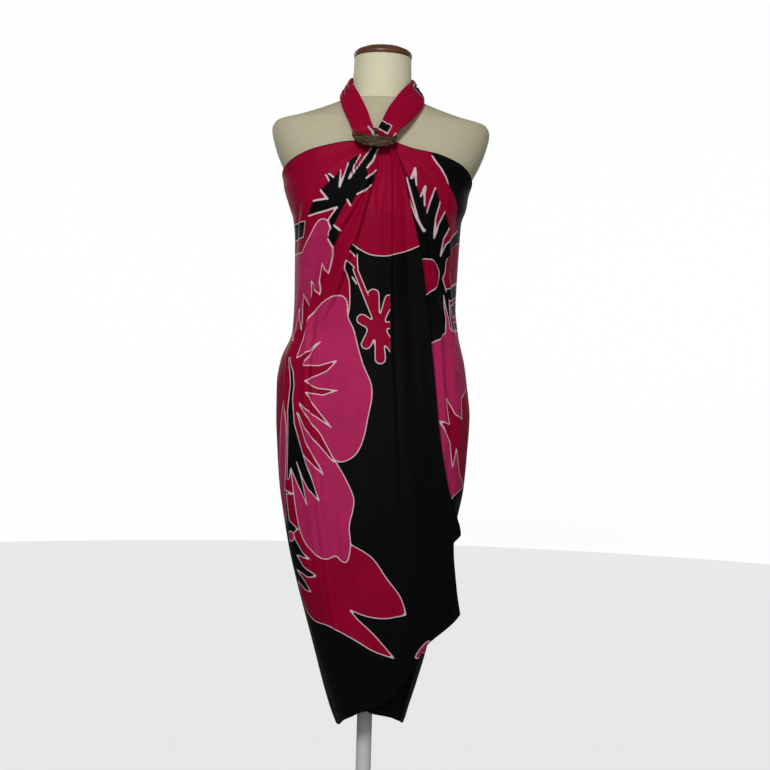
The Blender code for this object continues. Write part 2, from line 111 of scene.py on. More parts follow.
profile = []
for step in range(SWEEP_BEND_STEPS + 1):
    bend = math.pi / 2 * step / SWEEP_BEND_STEPS
    profile.append((SWEEP_FLOOR + SWEEP_RADIUS * math.sin(bend), SWEEP_RADIUS * (1 - math.cos(bend))))
profile.append((SWEEP_FLOOR + SWEEP_RADIUS, SWEEP_TOP))
turns = [2 * math.pi * side / SWEEP_SIDES for side in range(SWEEP_SIDES)]
corners = [(radius * math.sin(turn), radius * math.cos(turn), z) for radius, z in profile for turn in turns]
faces = [tuple(range(SWEEP_SIDES))[::-1]]
for level in range(len(profile) - 1):
    for side in range(SWEEP_SIDES):
        low, beside = level * SWEEP_SIDES + side, level * SWEEP_SIDES + (side + 1) % SWEEP_SIDES
        faces.append((low, low + SWEEP_SIDES, beside + SWEEP_SIDES, beside))
sweep_mesh = bpy.data.meshes.new("sweep")
sweep_mesh.from_pydata(corners, [], faces)
sweep_mesh.shade_smooth()
paper = plain_finish("lit paper", (0.93, 0.93, 0.93), 0.9, specular=0.1)
glow = paper.node_tree.nodes["Principled BSDF"].inputs
glow["Emission Color"].default_value = (1.0, 1.0, 1.0, 1.0)
glow["Emission Strength"].default_value = PAPER_GLOW
sweep = link_piece("sweep", sweep_mesh, paper)
sweep.visible_diffuse = False
sweep.visible_glossy = False
sweep.visible_shadow = False
print("sweep of", len(faces), "faces")

# %% Hang the lights
# Columns: name, place, aimed at, size, power in watts.
LIGHTS = (
    ("key", (-0.45, -2.6, 2.2), (0.0, 0.0, 1.05), 0.6, 40.0),
    ("fill", (1.5, -2.8, 1.6), (0.0, 0.0, 1.0), 1.6, 6.0),
    ("low", (0.0, -3.0, 0.5), (0.0, 0.0, 0.6), 1.4, 3.0),
    ("rear left", (-1.6, 2.6, 2.0), (0.0, 0.0, 0.9), 1.6, 20.0),
    ("rear right", (1.6, 2.6, 1.8), (0.0, 0.0, 0.9), 1.6, 9.0),
)
WORLD_STRENGTH = 0.17

for name, place, target, size, power in LIGHTS:
    light = bpy.data.lights.new(name, "AREA")
    light.size = size
    light.energy = power
    lamp = bpy.data.objects.new(name, light)
    lamp.location = place
    lamp.rotation_euler = (Vector(target) - Vector(place)).to_track_quat("-Z", "Y").to_euler()
    bpy.context.scene.collection.objects.link(lamp)
world = bpy.data.worlds.new("soft daylight")
world.use_nodes = True
sky = world.node_tree.nodes["Background"].inputs
sky["Color"].default_value = (0.95, 0.97, 1.0, 1.0)
sky["Strength"].default_value = WORLD_STRENGTH
bpy.context.scene.world = world
print(len(LIGHTS), "lights and an even sky")

# %% [markdown]
# ## The body that the cloth goes round
#
# Draped cloth is hard to draw freely, but easy to describe in two steps: first the smooth shape
# that it goes round, level by level, and then how far each fold stands out from it. The tables
# are the same as the solids have, so the fine cloth lies exactly on them. Sizes are millimetres.

# %% Read smooth curves through tables
def smooth(at, stations, readings):
    """Read a curve with no overshoot through readings at rising stations."""
    x = np.asarray(stations, dtype=float)
    y = np.asarray(readings, dtype=float)
    step = np.diff(x)
    slope = np.diff(y) / step
    tangent = np.concatenate(([slope[0]], np.zeros(len(x) - 2), [slope[-1]]))
    for index in range(1, len(x) - 1):
        before, after = slope[index - 1], slope[index]
        if before * after > 0:
            tangent[index] = 2.0 * before * after / (before + after)
    at = np.clip(np.asarray(at, dtype=float), x[0], x[-1])
    cell = np.clip(np.searchsorted(x, at, side="right") - 1, 0, len(x) - 2)
    t = (at - x[cell]) / step[cell]
    return (
        (1 + 2 * t) * (1 - t) ** 2 * y[cell]
        + t * (1 - t) ** 2 * step[cell] * tangent[cell]
        + t * t * (3 - 2 * t) * y[cell + 1]
        + t * t * (t - 1) * step[cell] * tangent[cell + 1]
    )


def column(table, index):
    return [row[index] for row in table]


# %% The smooth shape under the folds
# Columns: height, left half width, right half width, right half width of the top layer,
# front depth, back depth, squareness.
CLOTH_SECTIONS = (
    (262.0, 46.0, 67.0, 110.0, 92.0, 100.0, 2.0),
    (304.0, 64.0, 79.0, 125.0, 94.0, 104.0, 2.0),
    (350.0, 79.0, 93.0, 140.0, 97.0, 108.0, 2.0),
    (417.0, 98.0, 111.0, 160.0, 101.0, 113.0, 2.1),
    (482.0, 117.0, 124.0, 172.0, 105.0, 118.0, 2.1),
    (535.0, 132.0, 136.0, 176.0, 109.0, 123.0, 2.2),
    (593.0, 147.0, 150.0, 179.0, 113.0, 128.0, 2.2),
    (654.0, 159.0, 160.0, 181.0, 117.0, 132.0, 2.2),
    (715.0, 169.0, 171.0, 183.0, 119.0, 134.0, 2.2),
    (771.0, 174.0, 175.0, 184.0, 119.0, 134.0, 2.2),
    (843.0, 178.5, 178.5, 183.0, 117.0, 132.0, 2.2),
    (898.0, 179.0, 172.5, 178.0, 115.0, 127.0, 2.2),
    (941.0, 173.0, 166.0, 172.0, 113.0, 119.0, 2.2),
    (996.0, 153.0, 153.0, 163.0, 112.0, 108.0, 2.2),
    (1048.0, 151.0, 147.0, 160.0, 114.0, 101.0, 2.2),
    (1116.0, 152.0, 149.0, 161.0, 122.0, 103.0, 2.2),
    (1165.0, 153.0, 151.0, 163.0, 130.0, 106.0, 2.3),
    (1200.0, 157.0, 153.0, 165.0, 133.0, 107.0, 2.3),
    (1227.0, 166.0, 161.5, 169.0, 131.0, 107.0, 2.3),
    (1255.0, 175.0, 166.0, 173.0, 126.0, 107.0, 2.3),
    (1274.0, 178.5, 177.0, 180.0, 121.0, 106.0, 2.3),
    (1300.0, 190.0, 190.0, 190.0, 113.0, 105.0, 2.4),
    (1345.0, 206.0, 206.0, 206.0, 100.0, 100.0, 2.4),
)
LEVELS = column(CLOTH_SECTIONS, 0)


def on_section(angle, width, front, back, square):
    """Point and outward direction on a section, at an angle counted from the front to +X."""
    across, ahead = np.sin(angle), np.cos(angle)
    depth = np.where(ahead > 0, front, back)
    power = 2.0 / square
    x = width * np.sign(across) * np.abs(across) ** power
    y = -depth * np.sign(ahead) * np.abs(ahead) ** power
    out_x = np.sign(x) * np.abs(x / width) ** (square - 1) / width
    out_y = np.sign(y) * np.abs(y / depth) ** (square - 1) / depth
    length = np.hypot(out_x, out_y)
    return x, y, out_x / length, out_y / length


def cloth_section(angle, height, top_layer):
    """Point and outward direction on the cloth before its folds."""
    left, right, front, back, square = (
        smooth(height, LEVELS, column(CLOTH_SECTIONS, index))
        for index in (1, 3 if top_layer else 2, 4, 5, 6)
    )
    width = np.where(np.sin(angle) < 0, left, right)
    return on_section(angle, width, front, back, square)


def angle_across(across, height, top_layer):
    """Angle at which the front of the cloth is a given distance across from its middle."""
    side_column = 1 if across < 0 else (3 if top_layer else 2)
    width = smooth(height, LEVELS, column(CLOTH_SECTIONS, side_column))
    square = smooth(height, LEVELS, column(CLOTH_SECTIONS, 6))
    share = min(abs(across) / float(width), 1.0)
    return math.copysign(math.asin(share ** (float(square) / 2.0)), across)


print("body sections:", len(CLOTH_SECTIONS))

# %% [markdown]
# ## Measuring round the body
#
# The print belongs to the cloth, not to space, so every spot on the cloth is given by its
# height and by how far it lies round the body from the front middle, measured along the cloth.
# The distances are added up once, on a fine grid, and read from it afterwards.

# %% Make the tape measure
TAPE_LEVELS = np.linspace(255.0, 1345.0, 110)
TAPE_ANGLES = np.radians(np.linspace(-180.0, 180.0, 361))
FRONT_MIDDLE = 180


def tape(top_layer):
    """Distances round the cloth from the front middle, for each level and angle."""
    angles, levels = np.meshgrid(TAPE_ANGLES, TAPE_LEVELS)
    x, y = cloth_section(angles, levels, top_layer)[:2]
    run = np.hypot(np.diff(x, axis=1), np.diff(y, axis=1))
    run = np.concatenate((np.zeros((len(run), 1)), np.cumsum(run, axis=1)), axis=1)
    return run - run[:, FRONT_MIDDLE:FRONT_MIDDLE + 1]


TAPES = {True: tape(True), False: tape(False)}


def round_cloth(angle, height, top_layer):
    """How far round the cloth an angle lies at a height."""
    table = TAPES[top_layer]
    row = np.interp(height, TAPE_LEVELS, np.arange(len(TAPE_LEVELS)))
    place = np.interp(angle, TAPE_ANGLES, np.arange(len(TAPE_ANGLES)))
    low, left = np.floor(row).astype(int), np.floor(place).astype(int)
    low, left = np.minimum(low, len(TAPE_LEVELS) - 2), np.minimum(left, len(TAPE_ANGLES) - 2)
    up, aside = row - low, place - left
    lower = table[low, left] * (1 - aside) + table[low, left + 1] * aside
    upper = table[low + 1, left] * (1 - aside) + table[low + 1, left + 1] * aside
    return lower * (1 - up) + upper * up


def from_front(points, top_layer):
    """Turn places seen from the front, as (across, height), into places on the cloth.

    A place farther out than the side lies that much farther round the back."""
    laid = []
    for across, height in points:
        side_column = 1 if across < 0 else (3 if top_layer else 2)
        width = float(smooth(height, LEVELS, column(CLOTH_SECTIONS, side_column)))
        beyond = math.copysign(max(abs(across) - width, 0.0), across)
        angle = angle_across(across, height, top_layer)
        laid.append((float(round_cloth(angle, height, top_layer)) + beyond, height))
    return laid


print("hips measure", round(2 * float(round_cloth(math.pi, 900.0, False))), "mm round")

# %% [markdown]
# ## The folds
#
# A fold is a line down the cloth with a distance by which it stands out. Each row of these
# tables is one line. Between two lines the cloth swings over smoothly, so a pleat is a high
# line close to a low one.

# %% Folds of the top layer
OVER_THE_SIDE = None
SIDE_SEAM = math.radians(0.01)
FRONT_READINGS = (0.0, 0.18, 0.5, 1.0)
BACK_READINGS = (0.0, 0.2, 0.45, 1.0)

# Columns: name, steps to the next fold, places down the fold as (across, height), and how far
# it stands out at the ring, the bust, the hip and the hem.
OVER_FOLDS = (
    ("side", 2, ((OVER_THE_SIDE, 1274), (OVER_THE_SIDE, 277)), (0, 0, 0, 0)),
    ("side pleat foot", 1,
     ((-170, 1291), (-150, 1180), (-145, 1080), (-146, 1000), (-162, 940), (-160, 778), (-146, 620),
      (-98, 440), (-46, 284)),
     (0, 0, 1, 0)),
    ("side pleat crest", 3,
     ((-164, 1296), (-145, 1180), (-140, 1080), (-140, 1000), (-155, 940), (-152, 778), (-138, 620),
      (-92, 440), (-42, 289)),
     (0, 1, 5, 1)),
    ("flap ridge", 3,
     ((-112, 1319), (-120, 1220), (-124, 1100), (-134, 950), (-126, 750), (-98, 560), (-34, 299)),
     (1, 3, 3, 3)),
    ("neckline hollow", 3,
     ((-48, 1331), (-72, 1240), (-102, 1150), (-112, 1060), (-124, 960), (-118, 750), (-84, 540),
     (-26, 305)), (2, 3, 4, 4)),
    ("second pleat crest", 1,
     ((-24, 1331), (-16, 1275), (-40, 1212), (-64, 1168), (-84, 1105), (-110, 1033), (-118, 930),
     (-104, 700),
      (-66, 480), (-20, 309)),
     (6, 10, 6, 4)),
    ("second pleat foot", 2,
     ((-20, 1331), (-11, 1275), (-35, 1210), (-59, 1165), (-79, 1103), (-104, 1028), (-112, 930), (-99, 700),
      (-62, 480), (-17, 311)),
     (5, 4, 5, 4)),
    ("left pleat crest", 1,
     ((-15, 1331), (-5, 1284), (-16, 1239), (-33, 1169), (-51, 1110), (-69, 1058), (-96, 996), (-104, 900),
      (-90, 700), (-54, 480), (-12, 315)),
     (8, 12, 7, 6)),
    ("left pleat foot", 3,
     ((-11, 1331), (0, 1284), (-11, 1237), (-28, 1166), (-46, 1107), (-63, 1055), (-88, 993), (-97, 900),
      (-84, 700), (-49, 480), (-9, 317)),
     (5, 4.5, 5, 5)),
    ("centre swell", 3,
     ((-2, 1331), (8, 1284), (3, 1220), (-6, 1120), (-26, 1010), (-38, 880), (-34, 700), (-16, 500),
      (6, 322)),
     (7, 7, 6.5, 6.5)),
    ("centre pleat foot", 1,
     ((8, 1331), (19, 1290), (21, 1223), (24, 1100), (27, 1000), (31, 900), (38, 780), (46, 670), (50, 560),
      (42, 342)),
     (6, 5, 4.5, 5)),
    ("centre pleat crest", 3,
     ((12, 1331), (24, 1290), (26, 1223), (29, 1100), (33, 1000), (40, 900), (48, 780), (56, 670), (58, 560),
      (50, 351)),
     (11, 13, 9, 7)),
    ("centre ridge", 3,
     ((15, 1330), (31, 1280), (37, 1200), (42, 1080), (48, 950), (57, 830), (68, 750), (76, 650), (80, 560),
      (78, 393)),
     (9, 10, 10, 8)),
    ("centre valley", 3,
     ((18, 1330), (38, 1280), (47, 1200), (57, 1080), (69, 950), (83, 858), (97, 800), (106, 700),
     (109, 560),
      (104, 437)),
     (7, 6, 5.5, 6)),
    ("free edge", 0,
     ((22, 1329), (42, 1277), (53, 1225), (73, 1145), (90, 1029), (105, 911), (115, 824), (133, 723),
      (149, 672), (158, 634), (146, 622), (154, 535), (162, 487)),
     (6, 6, 7, 6)),
)

# %% Folds of the layer beneath and of the back
UNDER_FOLDS = (
    ("hidden edge", 3,
     ((-24, 1330), (-45, 1200), (-62, 1050), (-72, 850), (-62, 650), (-50, 430)), (0, 0, 0, 0)),
    ("hidden middle", 4,
     ((-4, 1330), (5, 1200), (8, 1050), (10, 850), (8, 650), (6, 318)), (0, 0, 0, 0)),
    ("beside the free edge", 1,
     ((16, 1330), (44, 1262), (62, 1180), (80, 1060), (96, 900), (104, 750), (88, 550), (38, 308)),
     (0, 0, 0, 0)),
    ("right pleat foot", 1,
     ((19, 1330), (46, 1270), (66, 1230), (88, 1120), (106, 980), (120, 800), (106, 600), (50, 303)),
     (0, 0, 0, 0)),
    ("right pleat crest", 2,
     ((23, 1330), (52, 1270), (72, 1230), (94, 1120), (112, 980), (126, 800), (112, 600), (54, 300)),
     (2, 6, 4, 1)),
    ("bust ridge", 2,
     ((62, 1319), (92, 1230), (108, 1120), (124, 980), (138, 800), (122, 600), (58, 297)), (3, 2, 1, 0)),
    ("outer ridge", 2,
     ((100, 1313), (120, 1230), (124, 1120), (138, 980), (152, 800), (134, 600), (63, 292)), (1, 4, 3, 3)),
    ("side hollow", 2,
     ((142, 1299), (142, 1230), (137, 1120), (149, 980), (164, 800), (144, 600), (67, 287)), (0, 0, 1, 0)),
    ("side", 0, ((OVER_THE_SIDE, 1255), (OVER_THE_SIDE, 278)), (0, 0, 0, 0)),
)

# Columns: angle at the top, angle at the hem, half width, and how far it stands out
# at the top, the waist, the hip and the hem.
BACK_FOLDS = (
    (104.0, 112.0, 9.0, 0.0, 2.0, 4.0, 9.0),
    (128.0, 131.0, 10.0, 1.0, -3.0, -4.0, -12.0),
    (147.0, 151.0, 8.0, 1.0, 4.0, 5.0, 12.0),
    (166.0, 169.0, 10.0, -1.0, -3.0, -5.0, -13.0),
    (183.0, 187.0, 8.0, 1.0, 5.0, 6.0, 11.0),
    (202.0, 205.0, 11.0, -1.0, -4.0, -4.0, -12.0),
    (223.0, 224.0, 9.0, 2.0, 3.0, 5.0, 12.0),
    (243.0, 243.0, 9.0, 0.0, -2.0, -3.0, -8.0),
)
BACK_TOP = ((90.0, 1255.0), (125.0, 1240.0), (180.0, 1228.0), (235.0, 1246.0), (270.0, 1274.0))
BACK_HEM = ((90.0, 278.0), (130.0, 276.0), (180.0, 275.0), (230.0, 275.0), (270.0, 277.0))
print("front folds:", len(OVER_FOLDS) + len(UNDER_FOLDS), "back folds:", len(BACK_FOLDS))

# %% [markdown]
# ## Small creases
#
# Worn rayon also has soft creases that are too small for a solid: drag lines that point to the
# ring and the waist, and short dents from folding. Each is a line with a width and a depth,
# fading out at both ends. No two are alike, because even creases look like corrugation.

# %% Place the creases
# Columns: start (round the cloth, height), end, half width, height of the crease.
OVER_CREASES = (
    ((-20, 1318), (-120, 1245), 7.0, 1.4),
    ((-34, 1322), (-168, 1262), 6.0, -1.2),
    ((-60, 1290), (-150, 1200), 9.0, -1.3),
    ((-92, 1262), (-172, 1160), 8.0, 1.2),
    ((-76, 1225), (-128, 1120), 8.0, -1.5),
    ((-150, 1230), (-190, 1120), 9.0, -1.4),
    ((-98, 1120), (-150, 1010), 7.0, 1.3),
    ((-120, 1075), (-178, 985), 8.0, -1.6),
    ((-118, 1010), (-190, 960), 6.0, 1.2),
    ((-70, 1050), (-112, 962), 6.0, -1.5),
    ((-62, 1010), (-150, 935), 6.0, -1.2),
    ((-90, 985), (-176, 905), 7.0, 1.1),
    ((-46, 960), (-60, 800), 9.0, -1.2),
    ((-90, 900), (-104, 740), 8.0, 1.3),
    ((-150, 880), (-160, 700), 9.0, -1.6),
    ((-66, 800), (-74, 640), 7.0, 1.1),
    ((-52, 700), (-44, 560), 6.0, -1.4),
    ((-94, 690), (-70, 560), 7.0, -1.2),
    ((-118, 640), (-86, 470), 8.0, 1.4),
    ((-10, 900), (-6, 700), 10.0, -1.2),
    ((10, 760), (24, 560), 9.0, 1.1),
    ((-30, 620), (0, 420), 9.0, -1.3),
    ((66, 900), (96, 690), 7.0, -1.2),
    ((84, 1000), (96, 850), 6.0, 1.0),
    ((120, 690), (136, 560), 8.0, -1.6),
    ((90, 640), (118, 500), 9.0, 1.5),
    ((60, 560), (70, 430), 9.0, -1.2),
    ((4, 1300), (-4, 1180), 5.0, -1.0),
    ((12, 1262), (8, 1140), 4.5, 1.0),
    ((36, 1230), (40, 1120), 5.0, -0.9),
    ((-40, 1170), (-60, 1080), 5.0, 1.1),
    ((-60, 660), (-110, 640), 3.5, -0.6),
    ((-50, 668), (-84, 700), 3.5, 0.6),
    ((-64, 690), (-96, 668), 4.0, -0.6),
    ((-90, 1000), (-150, 962), 3.5, -0.6),
    ((-60, 1008), (-112, 985), 3.5, 0.5),
    ((-100, 1090), (-170, 1118), 3.5, -0.8),
    ((-70, 930), (-60, 800), 5.0, 0.7),
    ((-60, 560), (-110, 545), 4.0, 0.6),
    ((-30, 640), (-64, 620), 3.0, -0.6),
)
UNDER_CREASES = (
    ((36, 1312), (120, 1240), 6.0, 1.3),
    ((50, 1316), (160, 1276), 6.0, -1.2),
    ((70, 1290), (150, 1200), 8.0, -1.4),
    ((90, 1225), (140, 1130), 7.0, 1.2),
    ((120, 1180), (160, 1080), 8.0, -1.5),
    ((100, 1080), (168, 985), 7.0, 1.4),
    ((112, 1020), (176, 960), 7.0, -1.5),
    ((120, 960), (184, 920), 6.0, 1.3),
    ((126, 930), (176, 850), 8.0, -1.3),
    ((140, 850), (168, 720), 9.0, 1.3),
    ((120, 800), (140, 640), 8.0, -1.4),
    ((170, 780), (160, 640), 9.0, -1.2),
    ((110, 560), (80, 420), 9.0, -1.4),
    ((60, 560), (44, 400), 9.0, 1.3),
    ((90, 420), (70, 320), 7.0, -1.3),
)
BACK_CREASES = (
    ((230, 1240), (330, 1090), 9.0, -1.6),
    ((260, 1190), (380, 1010), 8.0, 1.4),
    ((300, 1060), (420, 985), 7.0, -1.7),
    ((330, 1020), (250, 940), 8.0, 1.5),
    ((400, 1220), (410, 1040), 9.0, -1.4),
    ((470, 1180), (440, 1000), 8.0, 1.3),
    ((520, 1230), (600, 1080), 9.0, -1.5),
    ((560, 1060), (460, 960), 8.0, 1.4),
    ((620, 1120), (540, 990), 7.0, -1.6),
    ((360, 900), (350, 640), 10.0, -1.4),
    ((450, 860), (470, 600), 11.0, 1.5),
    ((540, 880), (560, 620), 10.0, -1.4),
    ((300, 780), (330, 520), 10.0, 1.4),
    ((420, 620), (400, 400), 11.0, -1.5),
)
CREASE_DEPTH = 1.7
CREASE_BOW = 0.06
CREASE_FADE = 1.2


def creased(table, around, height):
    """Height of the small creases at each place on the cloth."""
    total = np.zeros_like(around)
    for (a0, h0), (a1, h1), half_width, rise in table:
        length = math.hypot(a1 - a0, h1 - h0)
        along = ((around - a0) * (a1 - a0) + (height - h0) * (h1 - h0)) / length
        aside = ((around - a0) * (h1 - h0) - (height - h0) * (a1 - a0)) / length
        fade = np.clip(along / length, 0.0, 1.0)
        swell = np.sin(math.pi * fade) ** CREASE_FADE
        bend = CREASE_BOW * length * np.sin(math.pi * fade)
        total += CREASE_DEPTH * rise * swell * np.exp(-(((aside - bend) / half_width) ** 2))
    return total


print("creases:", len(OVER_CREASES) + len(UNDER_CREASES) + len(BACK_CREASES))

# %% [markdown]
# ## Draping a stretch of cloth
#
# Rows run down the cloth and columns run across it. Both are closer together beside the hems,
# so that the turned edge keeps its crisp shape. A stretch comes out as a grid of places round
# the body, heights and distances out, from which the mesh and the print are both made.

# %% Drape grids
HEM = 8.0
FOLD_DEPTH = 1.4
CLOSE_STEPS = 4
# The leaf is about one seventh of the rows down, and the hip about half of them.
MEASURED_AT = (7, 2)
NARROWEST_GAP = 12.0
HIDDEN_SHARE = 0.3


def spaced(count, length, hem_at_start, hem_at_end, crowd=(0.5, 0.5)):
    """Shares from 0 to 1, with a few close steps inside each hem.

    The first crowd[0] of the steps cover the first crowd[1] of the way."""
    close = np.linspace(0.0, HEM / length, CLOSE_STEPS + 1)[:-1]
    start = close if hem_at_start else []
    end = (1.0 - close)[::-1] if hem_at_end else []
    low = HEM / length if hem_at_start else 0.0
    high = 1.0 - HEM / length if hem_at_end else 1.0
    middle = np.interp(np.linspace(0, 1, count), (0.0, crowd[0], 1.0), (low, crowd[1], high))
    return np.concatenate((start, middle, end))


def fold_down(fold, rows, side, top_layer):
    """Angle, height and lift of one fold at each row, from its top to the hem."""
    places, stands = fold[2:]
    heights = column(places, 1)
    levels = np.interp(rows, (0.0, 1.0), (heights[0], heights[-1]))
    lifts = smooth(rows, FRONT_READINGS, stands)
    if places[0][0] is OVER_THE_SIDE:
        return np.full(len(rows), side * (math.pi / 2 - SIDE_SEAM)), levels, lifts
    across = smooth(levels, heights[::-1], column(places, 0)[::-1])
    angles = np.array([angle_across(x, z, top_layer) for x, z in zip(across, levels)])
    return angles, levels, lifts


def drape_front(folds, side, rows, column_count, top_layer, hem_at_end, hidden=0):
    """Grids of angle, height and lift for one front stretch.

    A gap between two folds gets columns by its width, at the leaf or at the hip, whichever is
    wider, so that thin strokes of the print stay whole. The first hidden gaps get few."""
    stations = np.concatenate(([0], np.cumsum([fold[1] for fold in folds[:-1]])))
    down = [fold_down(fold, rows, side, top_layer) for fold in folds]
    at_leaf, at_hip = (len(rows) // part for part in MEASURED_AT)
    gaps = []
    for fold, after in zip(down[:-1], down[1:]):
        apart = [
            abs(float(round_cloth(after[0][row], after[1][row], top_layer))
                - float(round_cloth(fold[0][row], fold[1][row], top_layer)))
            for row in (at_leaf, at_hip)
        ]
        gaps.append(max(*apart, NARROWEST_GAP) * (HIDDEN_SHARE if len(gaps) < hidden else 1.0))
    run = np.concatenate(([0.0], np.cumsum(gaps)))
    shares = spaced(column_count, run[-1], False, hem_at_end)
    places = np.interp(shares * run[-1], run, stations)
    angle, height, lift = (np.zeros((len(rows), len(places))) for _ in range(3))
    for row in range(len(rows)):
        angle[row] = smooth(places, stations, [fold[0][row] for fold in down])
        height[row] = smooth(places, stations, [fold[1][row] for fold in down])
        lift[row] = smooth(places, stations, [fold[2][row] for fold in down])
    return angle, height, lift * FOLD_DEPTH, places


def drape_back(rows, column_count):
    """Grids for the stretch round the back, with folds that deepen towards the hem."""
    seam = math.degrees(SIDE_SEAM)
    degrees = np.linspace(90.0 + seam, 270.0 - seam, column_count)
    top = smooth(degrees, *zip(*BACK_TOP))
    hem = smooth(degrees, *zip(*BACK_HEM))
    height = top[None, :] + (hem - top)[None, :] * rows[:, None]
    lift = np.zeros_like(height)
    for at_top, at_hem, half_width, *stands in BACK_FOLDS:
        middle = at_top + (at_hem - at_top) * rows[:, None]
        share = np.clip(np.abs(degrees[None, :] - middle) / (2 * half_width), 0, 1)
        depth = smooth(rows, BACK_READINGS, stands)[:, None]
        lift += depth * (0.5 + 0.5 * np.cos(math.pi * share))
    angle = np.radians(np.broadcast_to(degrees[None, :], height.shape))
    return angle, height, lift, degrees


print("hem of", HEM, "mm")

# %% [markdown]
# ## Drawing the print
#
# The print is bold: crimson shapes and rose pink petals on black, each inside an off-white
# outline, like hand-drawn batik. No image is used. Every motif is an outline of a few points,
# and each spot of the cloth stores how far inside or outside it lies. The material turns those
# distances into clean edges of any width, which a grid of colours could not do.

# %% Outlines made of curves, spikes and fingers
def rounded(points, steps=7):
    """Closed smooth curve through a few points. A point given twice makes a corner."""
    count = len(points)
    path = []
    for index in range(count):
        before, start, end, after = (np.array(points[(index + k) % count], float) for k in (-1, 0, 1, 2))
        if np.allclose(start, end):
            continue
        for step in range(steps):
            t = step / steps
            path.append(0.5 * (
                2 * start
                + (end - before) * t
                + (2 * before - 5 * start + 4 * end - after) * t * t
                + (3 * start - before - 3 * end + after) * t ** 3
            ))
    return np.array(path)


def lobed(heart, lobes):
    """Closed curve of round lobes about a heart, with round gaps between them.

    A lobe is its middle, its half width and how far the next gap stays from the heart."""
    heart = np.array(heart, float)
    points = []
    for index, (middle, half, gap) in enumerate(lobes):
        middle = np.array(middle, float)
        after = np.array(lobes[(index + 1) % len(lobes)][0], float)
        ahead = (middle - heart) / np.hypot(*(middle - heart))
        aside = np.array((ahead[1], -ahead[0]))
        for turn in np.radians((-100, -50, 0, 50, 100)):
            points.append(middle + half * (ahead * math.cos(turn) + aside * math.sin(turn)))
        between = ahead + (after - heart) / np.hypot(*(after - heart))
        points.append(heart + between / np.hypot(*between) * gap)
    return rounded(points)


def flame(tips, bow=0.0, steps=5):
    """Closed outline of sharp corners joined by sides that are straight or bow inwards."""
    path = []
    for start, end in zip(tips, tips[1:] + tips[:1]):
        start, end = np.array(start, float), np.array(end, float)
        side = end - start
        normal = np.array((side[1], -side[0]))
        for step in range(steps):
            t = step / steps
            path.append(start + side * t + normal * bow * 4 * t * (1 - t))
    return np.array(path)


# Half width of a finger: the power that tapers it, its share at the root and its swell after it.
TAPER, ROOT_SHARE, SWELL = 0.7, 0.8, 0.9


def finger(root, tip, width, bow=0.0, steps=9):
    """A pointed finger that swells a little after its root."""
    root, tip = np.array(root, float), np.array(tip, float)
    side = tip - root
    normal = np.array((-side[1], side[0])) / np.hypot(*side)
    left, right = [], []
    for step in range(steps + 1):
        t = step / steps
        half = width / 2 * (1 - t) ** TAPER * (ROOT_SHARE + SWELL * t * (1 - t))
        middle = root + side * t + normal * bow * 4 * t * (1 - t)
        left.append(middle + normal * half)
        right.append(middle - normal * half)
    return np.array(left + right[::-1][1:])


def stroke(start, end, half_start, half_end, steps=8):
    """A straight stroke with round ends, as of a stalk with a bead."""
    start, end = np.array(start, float), np.array(end, float)
    way = math.atan2(*(end - start)[::-1])
    path = []
    for centre, half, turn in ((end, half_end, way - math.pi / 2), (start, half_start, way + math.pi / 2)):
        for step in range(steps + 1):
            bend = turn + math.pi * step / steps
            path.append(centre + half * np.array((math.cos(bend), math.sin(bend))))
    return np.array(path)


# %% Distance to an outline
FAR = 40.0


def inside_by(around, height, outline):
    """How far each place lies inside an outline, in mm. Outside it is negative."""
    result = np.full(around.shape, -FAR)
    low, high = outline.min(axis=0) - FAR, outline.max(axis=0) + FAR
    near = (around > low[0]) & (around < high[0]) & (height > low[1]) & (height < high[1])
    px, py = around[near], height[near]
    if not len(px):
        return result
    closest = np.full(len(px), FAR)
    inside = np.zeros(len(px), bool)
    for (x0, y0), (x1, y1) in zip(outline, np.roll(outline, -1, axis=0)):
        dx, dy = x1 - x0, y1 - y0
        t = np.clip(((px - x0) * dx + (py - y0) * dy) / max(dx * dx + dy * dy, 1e-9), 0, 1)
        closest = np.minimum(closest, np.hypot(px - x0 - t * dx, py - y0 - t * dy))
        crosses = (y0 > py) != (y1 > py)
        if y1 != y0:
            inside ^= crosses & (px < x0 + (py - y0) * dx / (y1 - y0))
    result[near] = np.where(inside, closest, -closest)
    return result


LAYERS = (
    "crimson_ground", "pink_petals", "crimson_flames", "black_leaves", "rose_beads", "plain_black",
    "bare_strokes",
)


def print_cloth(height, *prints):
    """Distances for each dye, from pairs of places round the cloth and motifs.

    Flames lie over petals, petals over the ground, and black leaves are cut out of them all.
    Plain black has no outline of its own. Bare strokes stay undyed, where wax was drawn."""
    inside = {layer: np.full(height.shape, -FAR) for layer in LAYERS}
    for around, motifs in prints:
        for layer, outline in motifs:
            inside[layer] = np.maximum(inside[layer], inside_by(around, height, outline))
    ground, petals, flames, leaves, beads, plain_black, bare = (inside[layer] for layer in LAYERS)
    crimson = np.maximum(flames, np.minimum(ground, -petals))
    rose = np.minimum(petals, -flames)
    return {
        "crimson_dye": np.minimum.reduce((crimson, -leaves, -beads)),
        "rose_dye": np.maximum(np.minimum(rose, -leaves), beads),
        "plain_black": plain_black,
        "bare_strokes": bare,
    }


print("print layers:", ", ".join(LAYERS))

# %% [markdown]
# ## Motifs on the front
#
# The big hibiscus sits on the hip, half of it round the side: two rose petals with a flame
# shaped throat. A slit leaf points to the ring on each side of the chest, and a pollen stalk
# with round lobes hangs in the middle. Places are given as they are seen from the front.

# %% Motifs of the top layer
def seen(points):
    return from_front(points, True)


